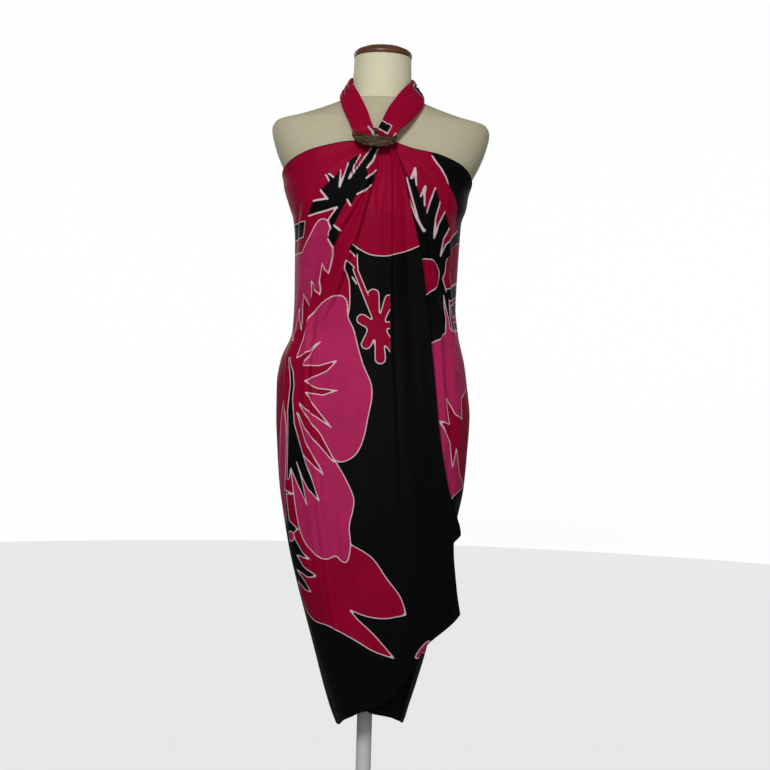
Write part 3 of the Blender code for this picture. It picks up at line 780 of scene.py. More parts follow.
bodice = rounded(seen([
    (-240, 1345), (-240, 1345), (60, 1345), (60, 1345), (75, 1147), (75, 1147), (47, 1134), (18, 1126),
    (-10, 1127), (-33, 1138), (-33, 1138), (-33, 1120), (-31, 1098), (-31, 1098), (-50, 1117), (-50, 1117),
    (-52, 1100), (-46, 1079), (-44, 1050), (-46, 1021), (-60, 960), (-84, 760),
    (-130, 700), (-130, 700), (-240, 740), (-240, 740),
]))
forked_leaf = rounded(seen([
    (-146, 700), (-146, 700), (-60, 690), (-30, 618), (-30, 618), (6, 596), (32, 560), (56, 528), (67, 495),
    (67, 495), (34, 488), (2, 491), (-30, 502), (-30, 502), (-14, 484), (12, 460), (50, 416), (50, 416),
    (12, 430), (-22, 450), (-62, 468), (-94, 475), (-112, 502), (-126, 560),
]))
big_petal = rounded(seen([
    (-128, 905), (-135, 944), (-135, 944), (-126, 976), (-116, 1007), (-97, 1036), (-66, 1055), (-50, 1047),
    (-46, 1018), (-36, 996),
    (-28, 966), (-18, 934), (-4, 902), (-2, 876), (-7, 846), (-14, 806), (-26, 778), (-46, 764), (-64, 768),
    (-90, 800), (-126, 850),
]))
low_petal = rounded(seen([
    (-136, 846), (-108, 826), (-66, 770), (-44, 736), (-29, 704), (-28, 684), (-34, 650), (-31, 618),
    (-35, 590),
    (-44, 587), (-56, 596), (-70, 590), (-85, 592), (-105, 608), (-118, 629), (-126, 658), (-132, 693),
    (-140, 748), (-140, 748), (-142, 800),
]))
top_petal = rounded(seen([
    (-196, 1066), (-190, 1104), (-160, 1130), (-132, 1133), (-132, 1133), (-120, 1157), (-105, 1185),
    (-92, 1189), (-79, 1176), (-83, 1162), (-73, 1139), (-82, 1094), (-82, 1094), (-91, 1112),
    (-91, 1112), (-96, 1056), (-96, 1056), (-112, 1082), (-112, 1082), (-112, 1032), (-112, 1032),
    (-127, 1060), (-127, 1060), (-128, 994), (-128, 994), (-138, 1034), (-138, 1034), (-144, 975),
    (-144, 975), (-162, 1004), (-184, 1030),
]))
throat = flame(seen([
    (-153, 953), (-135, 944), (-110, 958), (-92, 974), (-124, 931), (-95, 931), (-63, 941), (-80, 922),
    (-118, 903), (-97, 891), (-62, 888), (-86, 879), (-116, 883), (-92, 849), (-68, 821), (-96, 840),
    (-139, 872), (-116, 845), (-88, 810), (-64, 768), (-64, 762), (-93, 793), (-119, 824), (-135, 854),
    (-126, 826), (-113, 794), (-97, 768), (-80, 738), (-105, 760), (-121, 776), (-129, 797), (-137, 825),
    (-144, 869), (-141, 896), (-143, 918), (-147, 944),
]))
hip_spikes = flame(seen([
    (-148, 946), (-141, 918), (-139, 896), (-141, 869), (-136, 825), (-128, 799), (-118, 771), (-105, 740),
    (-86, 692), (-106, 711), (-120, 733), (-131, 760), (-119, 724), (-108, 682), (-126, 716), (-140, 748),
    (-142, 727), (-146, 726), (-147, 799), (-149, 848), (-147, 872), (-145, 895), (-147, 922), (-150, 943),
]))
side_petal = rounded(seen([
    (-160, 866), (-152, 830), (-150, 740), (-150, 660), (-158, 610), (-164, 700), (-166, 800),
]))
side_spikes = flame(seen([
    (-178, 948), (-166, 925), (-162, 934), (-156, 905), (-166, 900), (-159, 884), (-176, 868), (-186, 900),
]), bow=0.03)
low_spikes = flame(seen([
    (-150, 640), (-140, 652), (-124, 638), (-134, 628), (-126, 614), (-115, 597), (-100, 585), (-126, 591),
    (-113, 572), (-87, 556), (-103, 553), (-126, 564), (-109, 544), (-96, 526), (-108, 528), (-122, 541),
    (-136, 566), (-154, 600),
]))
bead = rounded(seen([(-138, 632), (-132, 629), (-130, 621), (-135, 614), (-141, 616), (-143, 626)]))
side_block = flame(seen([
    (-186, 1176), (-166, 1188), (-150, 1187), (-127, 1188), (-130, 1160), (-150, 1158), (-168, 1160),
]))
left_leaf = flame(seen([
    (3, 1336), (-2, 1316), (-16, 1284), (-21, 1276), (-18, 1268), (-22, 1260), (-6, 1274), (-9, 1255),
    (-13, 1248), (-36, 1231), (-42, 1219), (-46, 1210), (-53, 1221), (-63, 1200), (-73, 1177), (-62, 1167),
    (-67, 1153), (-73, 1138), (-83, 1154), (-77, 1173), (-86, 1188), (-80, 1198), (-71, 1209), (-97, 1202),
    (-121, 1196), (-119, 1209), (-113, 1222), (-88, 1224), (-101, 1240), (-93, 1249), (-86, 1256),
    (-93, 1270), (-87, 1271), (-79, 1263), (-73, 1269), (-67, 1276), (-68, 1244), (-61, 1264),
    (-54, 1290), (-46, 1299), (-33, 1305), (-43, 1284), (-52, 1258), (-34, 1285), (-14, 1317), (-8, 1336),
]))


WAX_SPREAD = 0.15


def wax(top_layer, *lines):
    """Undyed strokes along lines of a few places, as (across, height, half width)."""
    strokes = []
    for line in lines:
        for (*start, half_start), (*end, half_end) in zip(line, line[1:]):
            ends = from_front([start, end], top_layer)
            strokes.append(("bare_strokes", stroke(*ends, half_start + WAX_SPREAD, half_end + WAX_SPREAD)))
    return strokes


LEFT_LEAF_STROKES = wax(
    True,
    ((-3, 1316, 1.1), (-11, 1294, 1.6), (-21, 1279, 1.4)),
    ((-22, 1260, 1.2), (-5, 1275, 1.2)),
    ((-12, 1248, 1.0), (-22, 1239, 1.3), (-36, 1231, 1.1)),
    ((-46, 1211, 1.5), (-53, 1222, 1.4)),
    ((-73, 1177, 1.4), (-62, 1168, 1.5)),
    ((-73, 1139, 1.3), (-83, 1154, 1.2)),
    ((-79, 1171, 1.4), (-86, 1187, 1.2)),
    ((-85, 1188, 1.2), (-70, 1209, 1.5)),
    ((-71, 1209, 1.5), (-97, 1202, 1.2), (-121, 1196, 1.3)),
    ((-113, 1222, 1.4), (-88, 1225, 1.5)),
    ((-88, 1224, 1.5), (-101, 1240, 1.5)),
    ((-87, 1257, 1.4), (-93, 1268, 1.3)),
    ((-88, 1270, 1.3), (-79, 1263, 1.4)),
    ((-67, 1276, 1.1), (-68, 1246, 1.5)),
    ((-68, 1245, 1.5), (-60, 1268, 1.1), (-54, 1289, 1.4)),
    ((-33, 1304, 1.1), (-44, 1283, 1.0), (-52, 1260, 1.3)),
    ((-51, 1260, 1.3), (-34, 1286, 1.0)),
    ((-34, 1286, 1.1), (-15, 1316, 1.2)),
)
LADDER = [("plain_black", flame(seen([(-46, 1136), (-41, 1146), (-33, 1141), (-31, 1130), (-37, 1124)])))]
LADDER += wax(
    True,
    ((-39, 1143, 1.0), (-33, 1138, 1.0)),
    ((-44, 1132, 1.1), (-37, 1124, 1.0)),
    ((-41, 1088, 1.1), (-33, 1076, 1.0)),
)

# The pollen stalk: middle of each lobe as seen from the front, its half width, and the gap after it.
STALK_ROOT, STALK_ROOT_HALF = (-36, 1101), 3.8
STALK_HEART, STALK_HEART_HALF = (6, 1003), 4.8
LOBES = (
    ((-4, 1058), 9.5, 22.0),
    ((24, 1050), 8.5, 15.0),
    ((46, 1008), 9.0, 16.0),
    ((40, 955), 8.0, 36.0),
    ((11, 946), 9.0, 24.0),
    ((-14, 971), 8.5, 20.0),
    ((-22, 1014), 9.0, 17.0),
)
laid_lobes = [(seen([middle])[0], half, gap) for middle, half, gap in LOBES]
root, heart = seen([STALK_ROOT, STALK_HEART])
pollen = lobed(heart, laid_lobes)
stalk = stroke(root, heart, STALK_ROOT_HALF, STALK_HEART_HALF)
POLLEN_MOTIFS = [("crimson_flames", pollen), ("crimson_flames", stalk)]
flap_petal = rounded(seen([
    (106, 446), (97, 438), (88, 427), (84, 417), (91, 417), (99, 424), (109, 435), (111, 444),
]))
OVER_MOTIFS = (
    [("crimson_ground", outline) for outline in (bodice, forked_leaf)]
    + [("pink_petals", outline) for outline in (big_petal, low_petal, top_petal, side_petal, flap_petal)]
    + [("crimson_flames", outline) for outline in (throat, side_spikes)]
    + [("black_leaves", outline) for outline in (hip_spikes, low_spikes, side_block)]
    + [("rose_beads", bead), ("plain_black", left_leaf), *LEFT_LEAF_STROKES, *LADDER]
)
print("motifs on the top layer:", len(OVER_MOTIFS))


# %% Motifs of the layer beneath
def beneath(points):
    return from_front(points, False)


right_bodice = flame(beneath([
    (-40, 1345), (200, 1345), (200, 1190), (143, 1181), (131, 1168), (119, 1153), (111, 1131), (78, 1140),
    (40, 1240), (-40, 1262),
]))
right_leaf = flame(beneath([
    (90, 1129), (74, 1127), (62, 1200), (54, 1227), (67, 1196), (81, 1173), (71, 1192), (59, 1230),
    (49, 1265), (56, 1262), (60, 1270), (65, 1250), (73, 1231), (78, 1241), (79, 1216), (83, 1203),
    (91, 1226), (99, 1251), (108, 1228), (99, 1193), (98, 1161), (105, 1184), (116, 1211), (124, 1184),
    (114, 1161), (111, 1130), (119, 1153), (131, 1167), (143, 1181), (150, 1189), (168, 1176),
    (160, 1168), (144, 1160), (132, 1148), (127, 1135), (118, 1122), (105, 1124),
]))
side_black = rounded(beneath([
    (92, 1309), (92, 1309), (101, 1295), (110, 1286), (122, 1260), (136, 1238), (142, 1220), (144, 1186),
    (152, 1172), (176, 1176), (206, 1206), (222, 1262), (230, 1345), (230, 1345), (92, 1345), (92, 1345),
]))
RIGHT_LEAF_STROKES = wax(
    False,
    ((92, 1308, 1.0), (101, 1295, 1.3), (110, 1286, 1.0)),
    ((110, 1286, 1.6), (122, 1260, 1.0)),
    ((49, 1265, 1.0), (59, 1230, 1.2), (71, 1192, 1.3), (81, 1173, 1.9)),
    ((54, 1226, 0.9), (67, 1195, 1.0), (81, 1173, 1.9)),
    ((56, 1264, 2.0), (62, 1283, 1.5)),
    ((62, 1283, 1.8), (65, 1251, 1.2)),
    ((72, 1232, 1.3), (80, 1251, 1.8)),
    ((81, 1251, 1.9), (79, 1235, 1.6), (79, 1216, 1.2)),
    ((83, 1204, 1.1), (90, 1226, 1.4), (99, 1250, 1.3)),
    ((108, 1227, 1.1), (99, 1193, 1.3), (98, 1163, 2.3), (104, 1184, 1.2), (116, 1210, 1.3)),
    ((124, 1183, 1.2), (114, 1161, 1.1), (111, 1132, 1.3), (119, 1153, 1.1), (131, 1167, 1.2),
     (144, 1182, 1.1)),
)
side_patch = rounded(beneath([
    (212, 1166), (180, 1172), (145, 1160), (145, 1160), (132, 1148), (122, 1125), (119, 1104), (116, 1093),
    (116, 1093), (123, 1069), (123, 1069), (133, 1080), (146, 1091), (190, 1094), (226, 1112),
]))
half_round = rounded(beneath([
    (60, 1108), (75, 1121), (88, 1125), (101, 1119), (110, 1103), (105, 1080), (86, 1060), (66, 1066),
]))
hip_petal = rounded(beneath([
    (74, 950), (90, 968), (112, 984), (126, 996), (126, 996), (119, 1064), (119, 1064), (128, 1022),
    (128, 1022), (136, 1000), (170, 1004), (206, 990), (222, 940), (206, 840), (176, 740), (150, 706),
    (143, 698), (100, 690), (60, 800),
]))
hip_flames = flame(beneath([
    (206, 900), (172, 912), (158, 880), (160, 842), (146, 850), (129, 880), (137, 832), (119, 839),
    (138, 800), (143, 756), (149, 790), (158, 742), (170, 716), (178, 760), (196, 780), (186, 812),
    (210, 850),
]), bow=0.02)
hem_petal = rounded(beneath([(80, 441), (96, 420), (112, 409), (106, 446), (92, 458)]))
ladder = [
    flame(beneath([(121, 1074), (146, 1088), (147, 1066), (128, 1054)])),
    flame(beneath([(130, 1046), (146, 1056), (147, 1034), (135, 1024)])),
    flame(beneath([(137, 1016), (160, 1024), (160, 1004), (140, 1004)])),
]
ladder_ground = rounded(beneath([
    (126, 1078), (126, 1078), (160, 1096), (186, 1096), (206, 1060), (196, 1010), (134, 1000), (134, 1000),
]))
UNDER_MOTIFS = (
    [("crimson_ground", outline) for outline in (right_bodice, side_patch, half_round, ladder_ground)]
    + [("pink_petals", outline) for outline in (hip_petal, hem_petal)]
    + [("crimson_flames", hip_flames)]
    + [("black_leaves", outline) for outline in ladder]
    + [("plain_black", outline) for outline in (right_leaf, side_black)]
    + RIGHT_LEAF_STROKES
)
print("motifs beneath:", len(UNDER_MOTIFS))

# %% [markdown]
# ## Motifs on the back
#
# The photo never shows the back. It gets the same family of motifs in a layout of its own:
# whole flowers with five petals, slit leaves between them, and crimson above the waist.

# %% A whole flower and a leaf by rule
# Places round one petal, as shares of the flower's size along it and across it.
PETAL = (
    (0.10, 0.0), (0.45, 0.30), (0.80, 0.42), (1.02, 0.22), (0.96, 0.0), (1.04, -0.2), (0.82, -0.40),
    (0.45, -0.28),
)
THROAT_REACH = (0.52, 0.20, 0.40, 0.18)
THROAT_BOW = 0.03


def flower(centre, size, turn, petals=5):
    """Hibiscus from the front: round petals and a flame throat."""
    made = []
    centre = np.array(centre, float)
    for petal in range(petals):
        way = turn + 2 * math.pi * petal / petals
        points = []
        for reach, aside in PETAL:
            u, v = size * reach, size * aside
            points.append(centre + np.array((
                u * math.cos(way) - v * math.sin(way),
                u * math.sin(way) + v * math.cos(way),
            )))
        made.append(("pink_petals", rounded(points)))
    tips = []
    for spike in range(petals * 4):
        way = turn + 2 * math.pi * spike / (petals * 4)
        reach = size * THROAT_REACH[spike % 4]
        tips.append(centre + reach * np.array((math.cos(way), math.sin(way))))
    made.append(("crimson_flames", flame(tips[::-1], THROAT_BOW)))
    return made


# Shares of a slit leaf's length: its stem, the widths of its rib and of its fingers, where its
# pairs of fingers start and how far apart, the reach of the first pair and what a next one loses.
STEM, RIB_WIDTH, FINGER_WIDTH = 0.35, 0.17, 0.15
FIRST_PAIR, NEXT_PAIR = 0.12, 0.17
FINGER_REACH, REACH_LOST = 0.55, 0.07
# Degrees between rib and finger, and what a next pair loses. The bow is in mm.
FINGER_SPREAD, SPREAD_LOST = 58, 7
FINGER_BOW = 3.0


def slit_leaf(root, way, length, pairs):
    """Black leaf with fingers in pairs along its rib."""
    root = np.array(root, float)
    ahead = np.array((math.cos(way), math.sin(way)))
    rib = finger(root - ahead * length * STEM, root + ahead * length, length * RIB_WIDTH, FINGER_BOW)
    made = [("black_leaves", rib)]
    for pair in range(pairs):
        start = root + ahead * length * (FIRST_PAIR + NEXT_PAIR * pair)
        reach = length * (FINGER_REACH - REACH_LOST * pair)
        for side in (-1, 1):
            bend = way + side * math.radians(FINGER_SPREAD - SPREAD_LOST * pair)
            tip = start + reach * np.array((math.cos(bend), math.sin(bend)))
            made.append(("black_leaves", finger(start, tip, length * FINGER_WIDTH, side * FINGER_BOW)))
    return made


BACK_MOTIFS = [
    ("crimson_ground", rounded([
        (282, 1240), (300, 1290), (400, 1300), (520, 1300), (660, 1300), (720, 1200), (660, 1100),
        (560, 1010), (470, 1060), (400, 1010), (320, 1060), (262, 1040), (244, 1110), (262, 1170),
    ])),
    ("crimson_ground", rounded([(252, 640), (285, 700), (335, 570), (312, 480), (270, 520), (236, 480)])),
    ("crimson_ground", rounded([(560, 900), (640, 960), (690, 900), (668, 720), (560, 600), (520, 700)])),
]
# Columns: middle, size in mm, turn in radians.
FLOWERS = (
    ((366, 862), 118.0, 0.5), ((575, 800), 112.0, 1.15), ((450, 520), 100.0, 0.2), ((262, 420), 72.0, 0.8),
)
# Columns: root, way in radians, length in mm, pairs of fingers.
SLIT_LEAVES = (((330, 1110), 1.2, 105.0, 4), ((500, 1090), 2.0, 110.0, 4), ((286, 560), 1.8, 66.0, 3))
for bloom in FLOWERS:
    BACK_MOTIFS += flower(*bloom)
for leaf in SLIT_LEAVES:
    BACK_MOTIFS += slit_leaf(*leaf)
print("motifs on the back:", len(BACK_MOTIFS))

# %% [markdown]
# ## The cloth material
#
# One material serves all the cloth. It lays the colours over each other from the stored
# distances, with a thin off-white line where a distance is close to zero, then adds what makes
# it cloth: a fine plain weave, slight unevenness of the dye and the soft sheen of rayon.

# %% Helpers for materials
def add_node(tree, kind, **values):
    """A shader node, with input values given by socket name."""
    node = tree.nodes.new(kind)
    for name, value in values.items():
        socket = node.inputs[name.replace("_", " ")]
        socket.default_value = value
    return node


def ramp(tree, source, low, high):
    """0 below low, 1 above high, even in between."""
    node = add_node(tree, "ShaderNodeMapRange", From_Min=low, From_Max=high)
    tree.links.new(source, node.inputs["Value"])
    return node.outputs["Result"]


def mixed(tree, share, under, over):
    """Lay one colour over another. Each is a socket or a plain colour."""
    node = tree.nodes.new("ShaderNodeMix")
    node.data_type = "RGBA"
    tree.links.new(share, node.inputs["Factor"])
    # A Mix node has a socket of the same name for each kind of value. These are its colour ones.
    for socket, value in ((node.inputs[6], under), (node.inputs[7], over)):
        if isinstance(value, tuple):
            socket.default_value = (*value, 1.0)
        else:
            tree.links.new(value, socket)
    return node.outputs[2]


# %% Print and weave
BLACK = (0.0030, 0.0032, 0.0036)
CRIMSON = (0.355, 0.0012, 0.031)
ROSE = (0.53, 0.024, 0.125)
OFF_WHITE = (0.80, 0.62, 0.66)
LINE_HALF = 0.85
LINE_BLUR = 0.30
# Width in mm of the black band along the hems: painted shade under the rolled edge, partly the hem's own
# dark edge.
EDGE_SHADE_AND_DARK_HEM = 1.8
THREAD_PITCH = 0.0005
# A Wave texture multiplies its coordinate by this before it makes bands.
WAVE_FACTOR = 20.0

cloth_finish = plain_finish("printed rayon", CRIMSON, 0.55, specular=0.055)
tree = cloth_finish.node_tree
shader = tree.nodes["Principled BSDF"]
shader.inputs["Sheen Weight"].default_value = 0.012
shader.inputs["Sheen Roughness"].default_value = 0.4
shader.inputs["Sheen Tint"].default_value = (1.0, 0.7, 0.8, 1.0)

colour = BLACK
for layer, ink in (("crimson_dye", CRIMSON), ("rose_dye", ROSE)):
    distance = tree.nodes.new("ShaderNodeAttribute")
    distance.attribute_name = layer
    edge = ramp(tree, distance.outputs["Fac"], -LINE_HALF - LINE_BLUR, -LINE_HALF + LINE_BLUR)
    colour = mixed(tree, edge, colour, OFF_WHITE)
    fill = ramp(tree, distance.outputs["Fac"], LINE_HALF - LINE_BLUR, LINE_HALF + LINE_BLUR)
    colour = mixed(tree, fill, colour, ink)

for layer, ink, low, high in (("plain_black", BLACK, -0.4, 0.4), ("bare_strokes", OFF_WHITE, -0.5, 0.2)):
    distance = tree.nodes.new("ShaderNodeAttribute")
    distance.attribute_name = layer
    colour = mixed(tree, ramp(tree, distance.outputs["Fac"], low, high), colour, ink)

place = tree.nodes.new("ShaderNodeUVMap")
place.uv_map = "on_the_cloth"
dye = add_node(tree, "ShaderNodeTexNoise", Scale=14.0, Detail=4.0, Roughness=0.6)
tree.links.new(place.outputs["UV"], dye.inputs["Vector"])
fleck = ramp(tree, dye.outputs["Fac"], 0.25, 0.75)
hue = tree.nodes.new("ShaderNodeHueSaturation")
span = add_node(tree, "ShaderNodeMapRange", To_Min=0.88, To_Max=1.10)
tree.links.new(fleck, span.inputs["Value"])
tree.links.new(span.outputs["Result"], hue.inputs["Value"])
# Near every hem the colour turns black: painted shade under the rolled edge, and partly the hem's own dark
# edge.
sewn = tree.nodes.new("ShaderNodeAttribute")
sewn.attribute_name = "from_edge"
edge = ramp(tree, sewn.outputs["Fac"], EDGE_SHADE_AND_DARK_HEM * 0.6, EDGE_SHADE_AND_DARK_HEM)
tree.links.new(mixed(tree, edge, BLACK, colour), hue.inputs["Color"])
tree.links.new(hue.outputs["Color"], shader.inputs["Base Color"])

weave = []
for direction in ("X", "Y"):
    scale = 1.0 / (THREAD_PITCH * WAVE_FACTOR)
    thread = add_node(tree, "ShaderNodeTexWave", Scale=scale, Distortion=0.6, Detail=1.0)
    thread.bands_direction = direction
    tree.links.new(place.outputs["UV"], thread.inputs["Vector"])
    weave.append(thread.outputs["Fac"])
crossed = tree.nodes.new("ShaderNodeMath")
crossed.operation = "MULTIPLY"
tree.links.new(weave[0], crossed.inputs[0])
tree.links.new(weave[1], crossed.inputs[1])
bump = add_node(tree, "ShaderNodeBump", Strength=0.25, Distance=0.0002)
tree.links.new(crossed.outputs["Value"], bump.inputs["Height"])
rumple = add_node(tree, "ShaderNodeTexNoise", Scale=42.0, Detail=3.0, Roughness=0.5)
tree.links.new(place.outputs["UV"], rumple.inputs["Vector"])
soft = add_node(tree, "ShaderNodeBump", Strength=0.35, Distance=0.0012)
tree.links.new(rumple.outputs["Fac"], soft.inputs["Height"])
tree.links.new(bump.outputs["Normal"], soft.inputs["Normal"])
tree.links.new(soft.outputs["Normal"], shader.inputs["Normal"])
print("cloth material has", len(tree.nodes), "nodes")

# %% [markdown]
# ## Cutting the cloth mesh
#
# The grid becomes a real sheet, 0.7 mm thick, closed all round. The turned hem is a little
# thicker than the rest, which is what makes an edge look sewn and not cut with scissors.

# %% Turn grids into thin sheets
SHEET = 0.7
HEM_RISE = 0.5


def cloth_mesh(name, grids, quads, around, height, printed):
    """Mesh of an outer and an inner grid, with its print distances and its flat places."""
    corners = np.concatenate([grid.reshape(-1, 3) for grid in grids]) * MM
    mesh = bpy.data.meshes.new(name)
    mesh.from_pydata(corners.tolist(), [], quads.tolist())
    for layer, distance in printed.items():
        store = mesh.attributes.new(layer, "FLOAT", "POINT")
        store.data.foreach_set("value", np.tile(distance.ravel(), 2).astype(np.float32))
    flat = np.tile(np.stack((around.ravel(), height.ravel()), 1) * MM, (2, 1))
    on_cloth = mesh.uv_layers.new(name="on_the_cloth")
    on_cloth.data.foreach_set("uv", flat[quads.ravel()].astype(np.float32).ravel())
    mesh.shade_smooth()
    return mesh


def sheet_mesh(name, outer, inner, around, height, printed):
    """Closed thin sheet between two grids."""
    rows, columns = outer.shape[:2]
    count = rows * columns
    spots = np.arange(count).reshape(rows, columns)
    a, b = spots[:-1, :-1].ravel(), spots[1:, :-1].ravel()
    c, d = spots[1:, 1:].ravel(), spots[:-1, 1:].ravel()
    quads = [np.stack((a, b, c, d), 1), np.stack((a, d, c, b), 1) + count]
    left, right, top, bottom = spots[:, 0], spots[:, -1], spots[0], spots[-1]
    quads.append(np.stack((left[:-1], left[:-1] + count, left[1:] + count, left[1:]), 1))
    quads.append(np.stack((right[:-1], right[1:], right[1:] + count, right[:-1] + count), 1))
    quads.append(np.stack((top[:-1], top[1:], top[1:] + count, top[:-1] + count), 1))
    quads.append(np.stack((bottom[:-1], bottom[:-1] + count, bottom[1:] + count, bottom[1:]), 1))
    mesh = cloth_mesh(name, (outer, inner), np.concatenate(quads), around, height, printed)
    mesh.set_sharp_from_angle(angle=math.radians(70))
    return mesh


# The steps of the top layer at which its middle pleat turns under.
MIDDLE_FOLD = 10
CENTRE_PLEAT = sum(fold[1] for fold in OVER_FOLDS[:MIDDLE_FOLD])
OFF_THE_PRINT = 9000.0
HEM_STEP = 1.5
CREASE_START = 30.0


def drape(name, grid, top_layer, creases, motifs, hem_right=False):
    """Build one stretch of the wrapped cloth."""
    angle, height, lift, places = grid
    if name == "cloth_back":
        half_way = round_cloth(np.full_like(angle, math.pi), height, False)
        full_way = half_way - round_cloth(np.full_like(angle, -math.pi), height, False)
        first_half = round_cloth(np.minimum(angle, math.pi), height, False)
        second_half = round_cloth(np.maximum(angle, math.pi) - 2 * math.pi, height, False) + full_way
        around = np.where(angle > math.pi, second_half, first_half)
        prints = ((around, BACK_MOTIFS), (around, UNDER_MOTIFS), (around - full_way, OVER_MOTIFS))
    else:
        around = round_cloth(angle, height, top_layer)
        before_pleat = np.where(places[None, :] > CENTRE_PLEAT, OFF_THE_PRINT, around)
        prints = ((around, motifs), (before_pleat, POLLEN_MOTIFS if top_layer else []))
    from_top = np.cumsum(np.abs(np.diff(height, axis=0, prepend=height[:1])), axis=0)
    from_bottom = from_top[-1:] - from_top
    edges = [from_top, from_bottom]
    if hem_right:
        edges.append(around[:, -1:] - around)
    hem = np.zeros_like(lift)
    for run in edges:
        hem = np.maximum(hem, np.clip((HEM - run) / HEM_STEP, 0, 1))
    settled = np.clip(from_top / CREASE_START, 0, 1)
    settled = settled * np.clip((from_bottom + CREASE_START) / (2 * CREASE_START), 0, 1)
    fine = creased(creases, around, height) * settled
    x, y, out_x, out_y = cloth_section(angle, height, top_layer)
    out = lift + fine
    outer = np.stack((x + out_x * out, y + out_y * out, height), axis=-1)
    inward = out - SHEET - HEM_RISE * hem
    inner = np.stack((x + out_x * inward, y + out_y * inward, height), axis=-1)
    printed = print_cloth(height, *prints)
    printed["from_edge"] = np.minimum.reduce(edges)
    mesh = sheet_mesh(name, outer, inner, around, height, printed)
    piece = link_piece(name + "_sheet", mesh, cloth_finish)
    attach(piece, BODY)
    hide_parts(name)
    print(name, "has", 2 * len(mesh.polygons), "triangles")
    return piece, outer


# %% Drape the three stretches
OVER_ROWS = spaced(286, 1050.0, True, True, crowd=(0.62, 0.45))
UNDER_ROWS = spaced(286, 1000.0, True, True, crowd=(0.6, 0.45))
BACK_ROWS = spaced(250, 970.0, True, True)
SIDE_LEFT, SIDE_RIGHT = -1, 1

over_grid = drape_front(OVER_FOLDS, SIDE_LEFT, OVER_ROWS, 160, True, True)
over, over_outer = drape("cloth_front_over", over_grid, True, OVER_CREASES, OVER_MOTIFS, hem_right=True)
under_grid = drape_front(UNDER_FOLDS, SIDE_RIGHT, UNDER_ROWS, 130, False, False, hidden=2)
under, under_outer = drape("cloth_front_under", under_grid, False, UNDER_CREASES, UNDER_MOTIFS)
back, back_outer = drape("cloth_back", drape_back(BACK_ROWS, 180), False, BACK_CREASES, BACK_MOTIFS)

# %% [markdown]
# ## The gathered corners
#
# Each top corner is drawn together into a soft band 40 to 50 mm wide. It comes up through the
# ring, spreads over the chest and goes round the neck. The band is a hollow tube of cloth with
# shallow folds that run along it, deeper where it is squeezed in the ring.

# %% Sweep a gathered band
# Columns: x, y, z, width, thickness, and the way the flat face looks as azimuth and elevation.
LEFT_STRAP = (
    (-17.0, -109.5, 1331.0, 17.0, 7.0, -5.0, 4.0),
    (-21.0, -111.5, 1338.0, 25.0, 7.0, -6.0, 6.0),
    (-28.0, -115.5, 1346.5, 36.0, 9.0, -8.0, 18.0),
    (-35.0, -111.0, 1360.0, 37.0, 9.0, -10.0, 34.0),
    (-40.0, -101.5, 1375.0, 38.0, 8.5, -14.0, 38.0),
    (-47.0, -87.5, 1391.0, 39.0, 8.0, -22.0, 38.0),
    (-55.0, -72.0, 1409.0, 38.0, 8.0, -35.0, 38.0),
    (-62.0, -51.0, 1427.0, 35.0, 8.0, -55.0, 38.0),
    (-65.5, -20.0, 1441.0, 31.0, 8.0, -77.0, 38.0),
    (-63.5, 8.0, 1452.0, 29.0, 8.0, -98.0, 26.0),
    (-53.0, 32.0, 1460.5, 28.0, 8.0, -124.0, 12.0),
    (-40.0, 44.0, 1467.0, 27.0, 8.0, -142.0, 5.0),
    (-25.0, 50.9, 1469.0, 25.0, 8.0, -157.0, 3.0),
    (-12.8, 56.5, 1469.0, 22.0, 8.0, -166.0, 3.0),
)
RIGHT_STRAP = (
    (2.0, -109.5, 1331.0, 16.0, 7.0, 5.0, 4.0),
    (6.5, -111.5, 1338.0, 23.0, 7.0, 6.0, 6.0),
    (11.0, -116.0, 1346.0, 33.0, 9.0, 8.0, 18.0),
    (19.0, -112.0, 1359.0, 37.0, 9.0, 12.0, 34.0),
    (28.0, -102.5, 1373.5, 44.0, 8.5, 18.0, 38.0),
    (39.0, -87.5, 1390.0, 49.0, 8.0, 26.0, 38.0),
    (50.5, -71.0, 1408.0, 50.0, 8.0, 38.0, 40.0),
    (60.0, -50.0, 1427.0, 45.0, 8.0, 56.0, 42.0),
    (64.5, -20.0, 1442.5, 36.0, 8.0, 77.0, 40.0),
    (63.5, 8.0, 1451.5, 29.0, 8.0, 98.0, 26.0),
    (53.0, 32.0, 1460.0, 28.0, 8.0, 124.0, 12.0),
    (40.0, 44.0, 1467.0, 27.0, 8.0, 142.0, 5.0),
    (25.0, 50.9, 1469.0, 25.0, 8.0, 157.0, 3.0),
    (12.8, 56.5, 1469.0, 22.0, 8.0, 166.0, 3.0),
)
STRAP_OVAL = 0.8
STRAP_SIDES = 96
STRAP_RINGS = 150
# A fold wanders across the band and grows deeper and shallower, as waves along its length.
DRIFT_TURNS, DRIFT_START = 3.2, 5.0
DEPTH_TURNS, DEPTH_START = 9.0, 11.0
DEPTH_MEAN, DEPTH_SWING = 0.75, 0.35
EDGE_FADE = 1.6
LEAST_HALF, LEAST_HALF_PER_INSET = 0.8, 0.4
INNER_FACE_PLACE = 100.0
# Columns: place across the band from -1 to 1, half width, depth of the fold, drift along the band.
STRAP_FOLDS = (
    (-0.62, 0.14, 1.3, 0.22),
    (-0.22, 0.20, 1.2, -0.18),
    (0.16, 0.12, 2.2, 0.26),
    (0.52, 0.18, 1.1, -0.14),
    (0.82, 0.10, 1.2, 0.10),
)


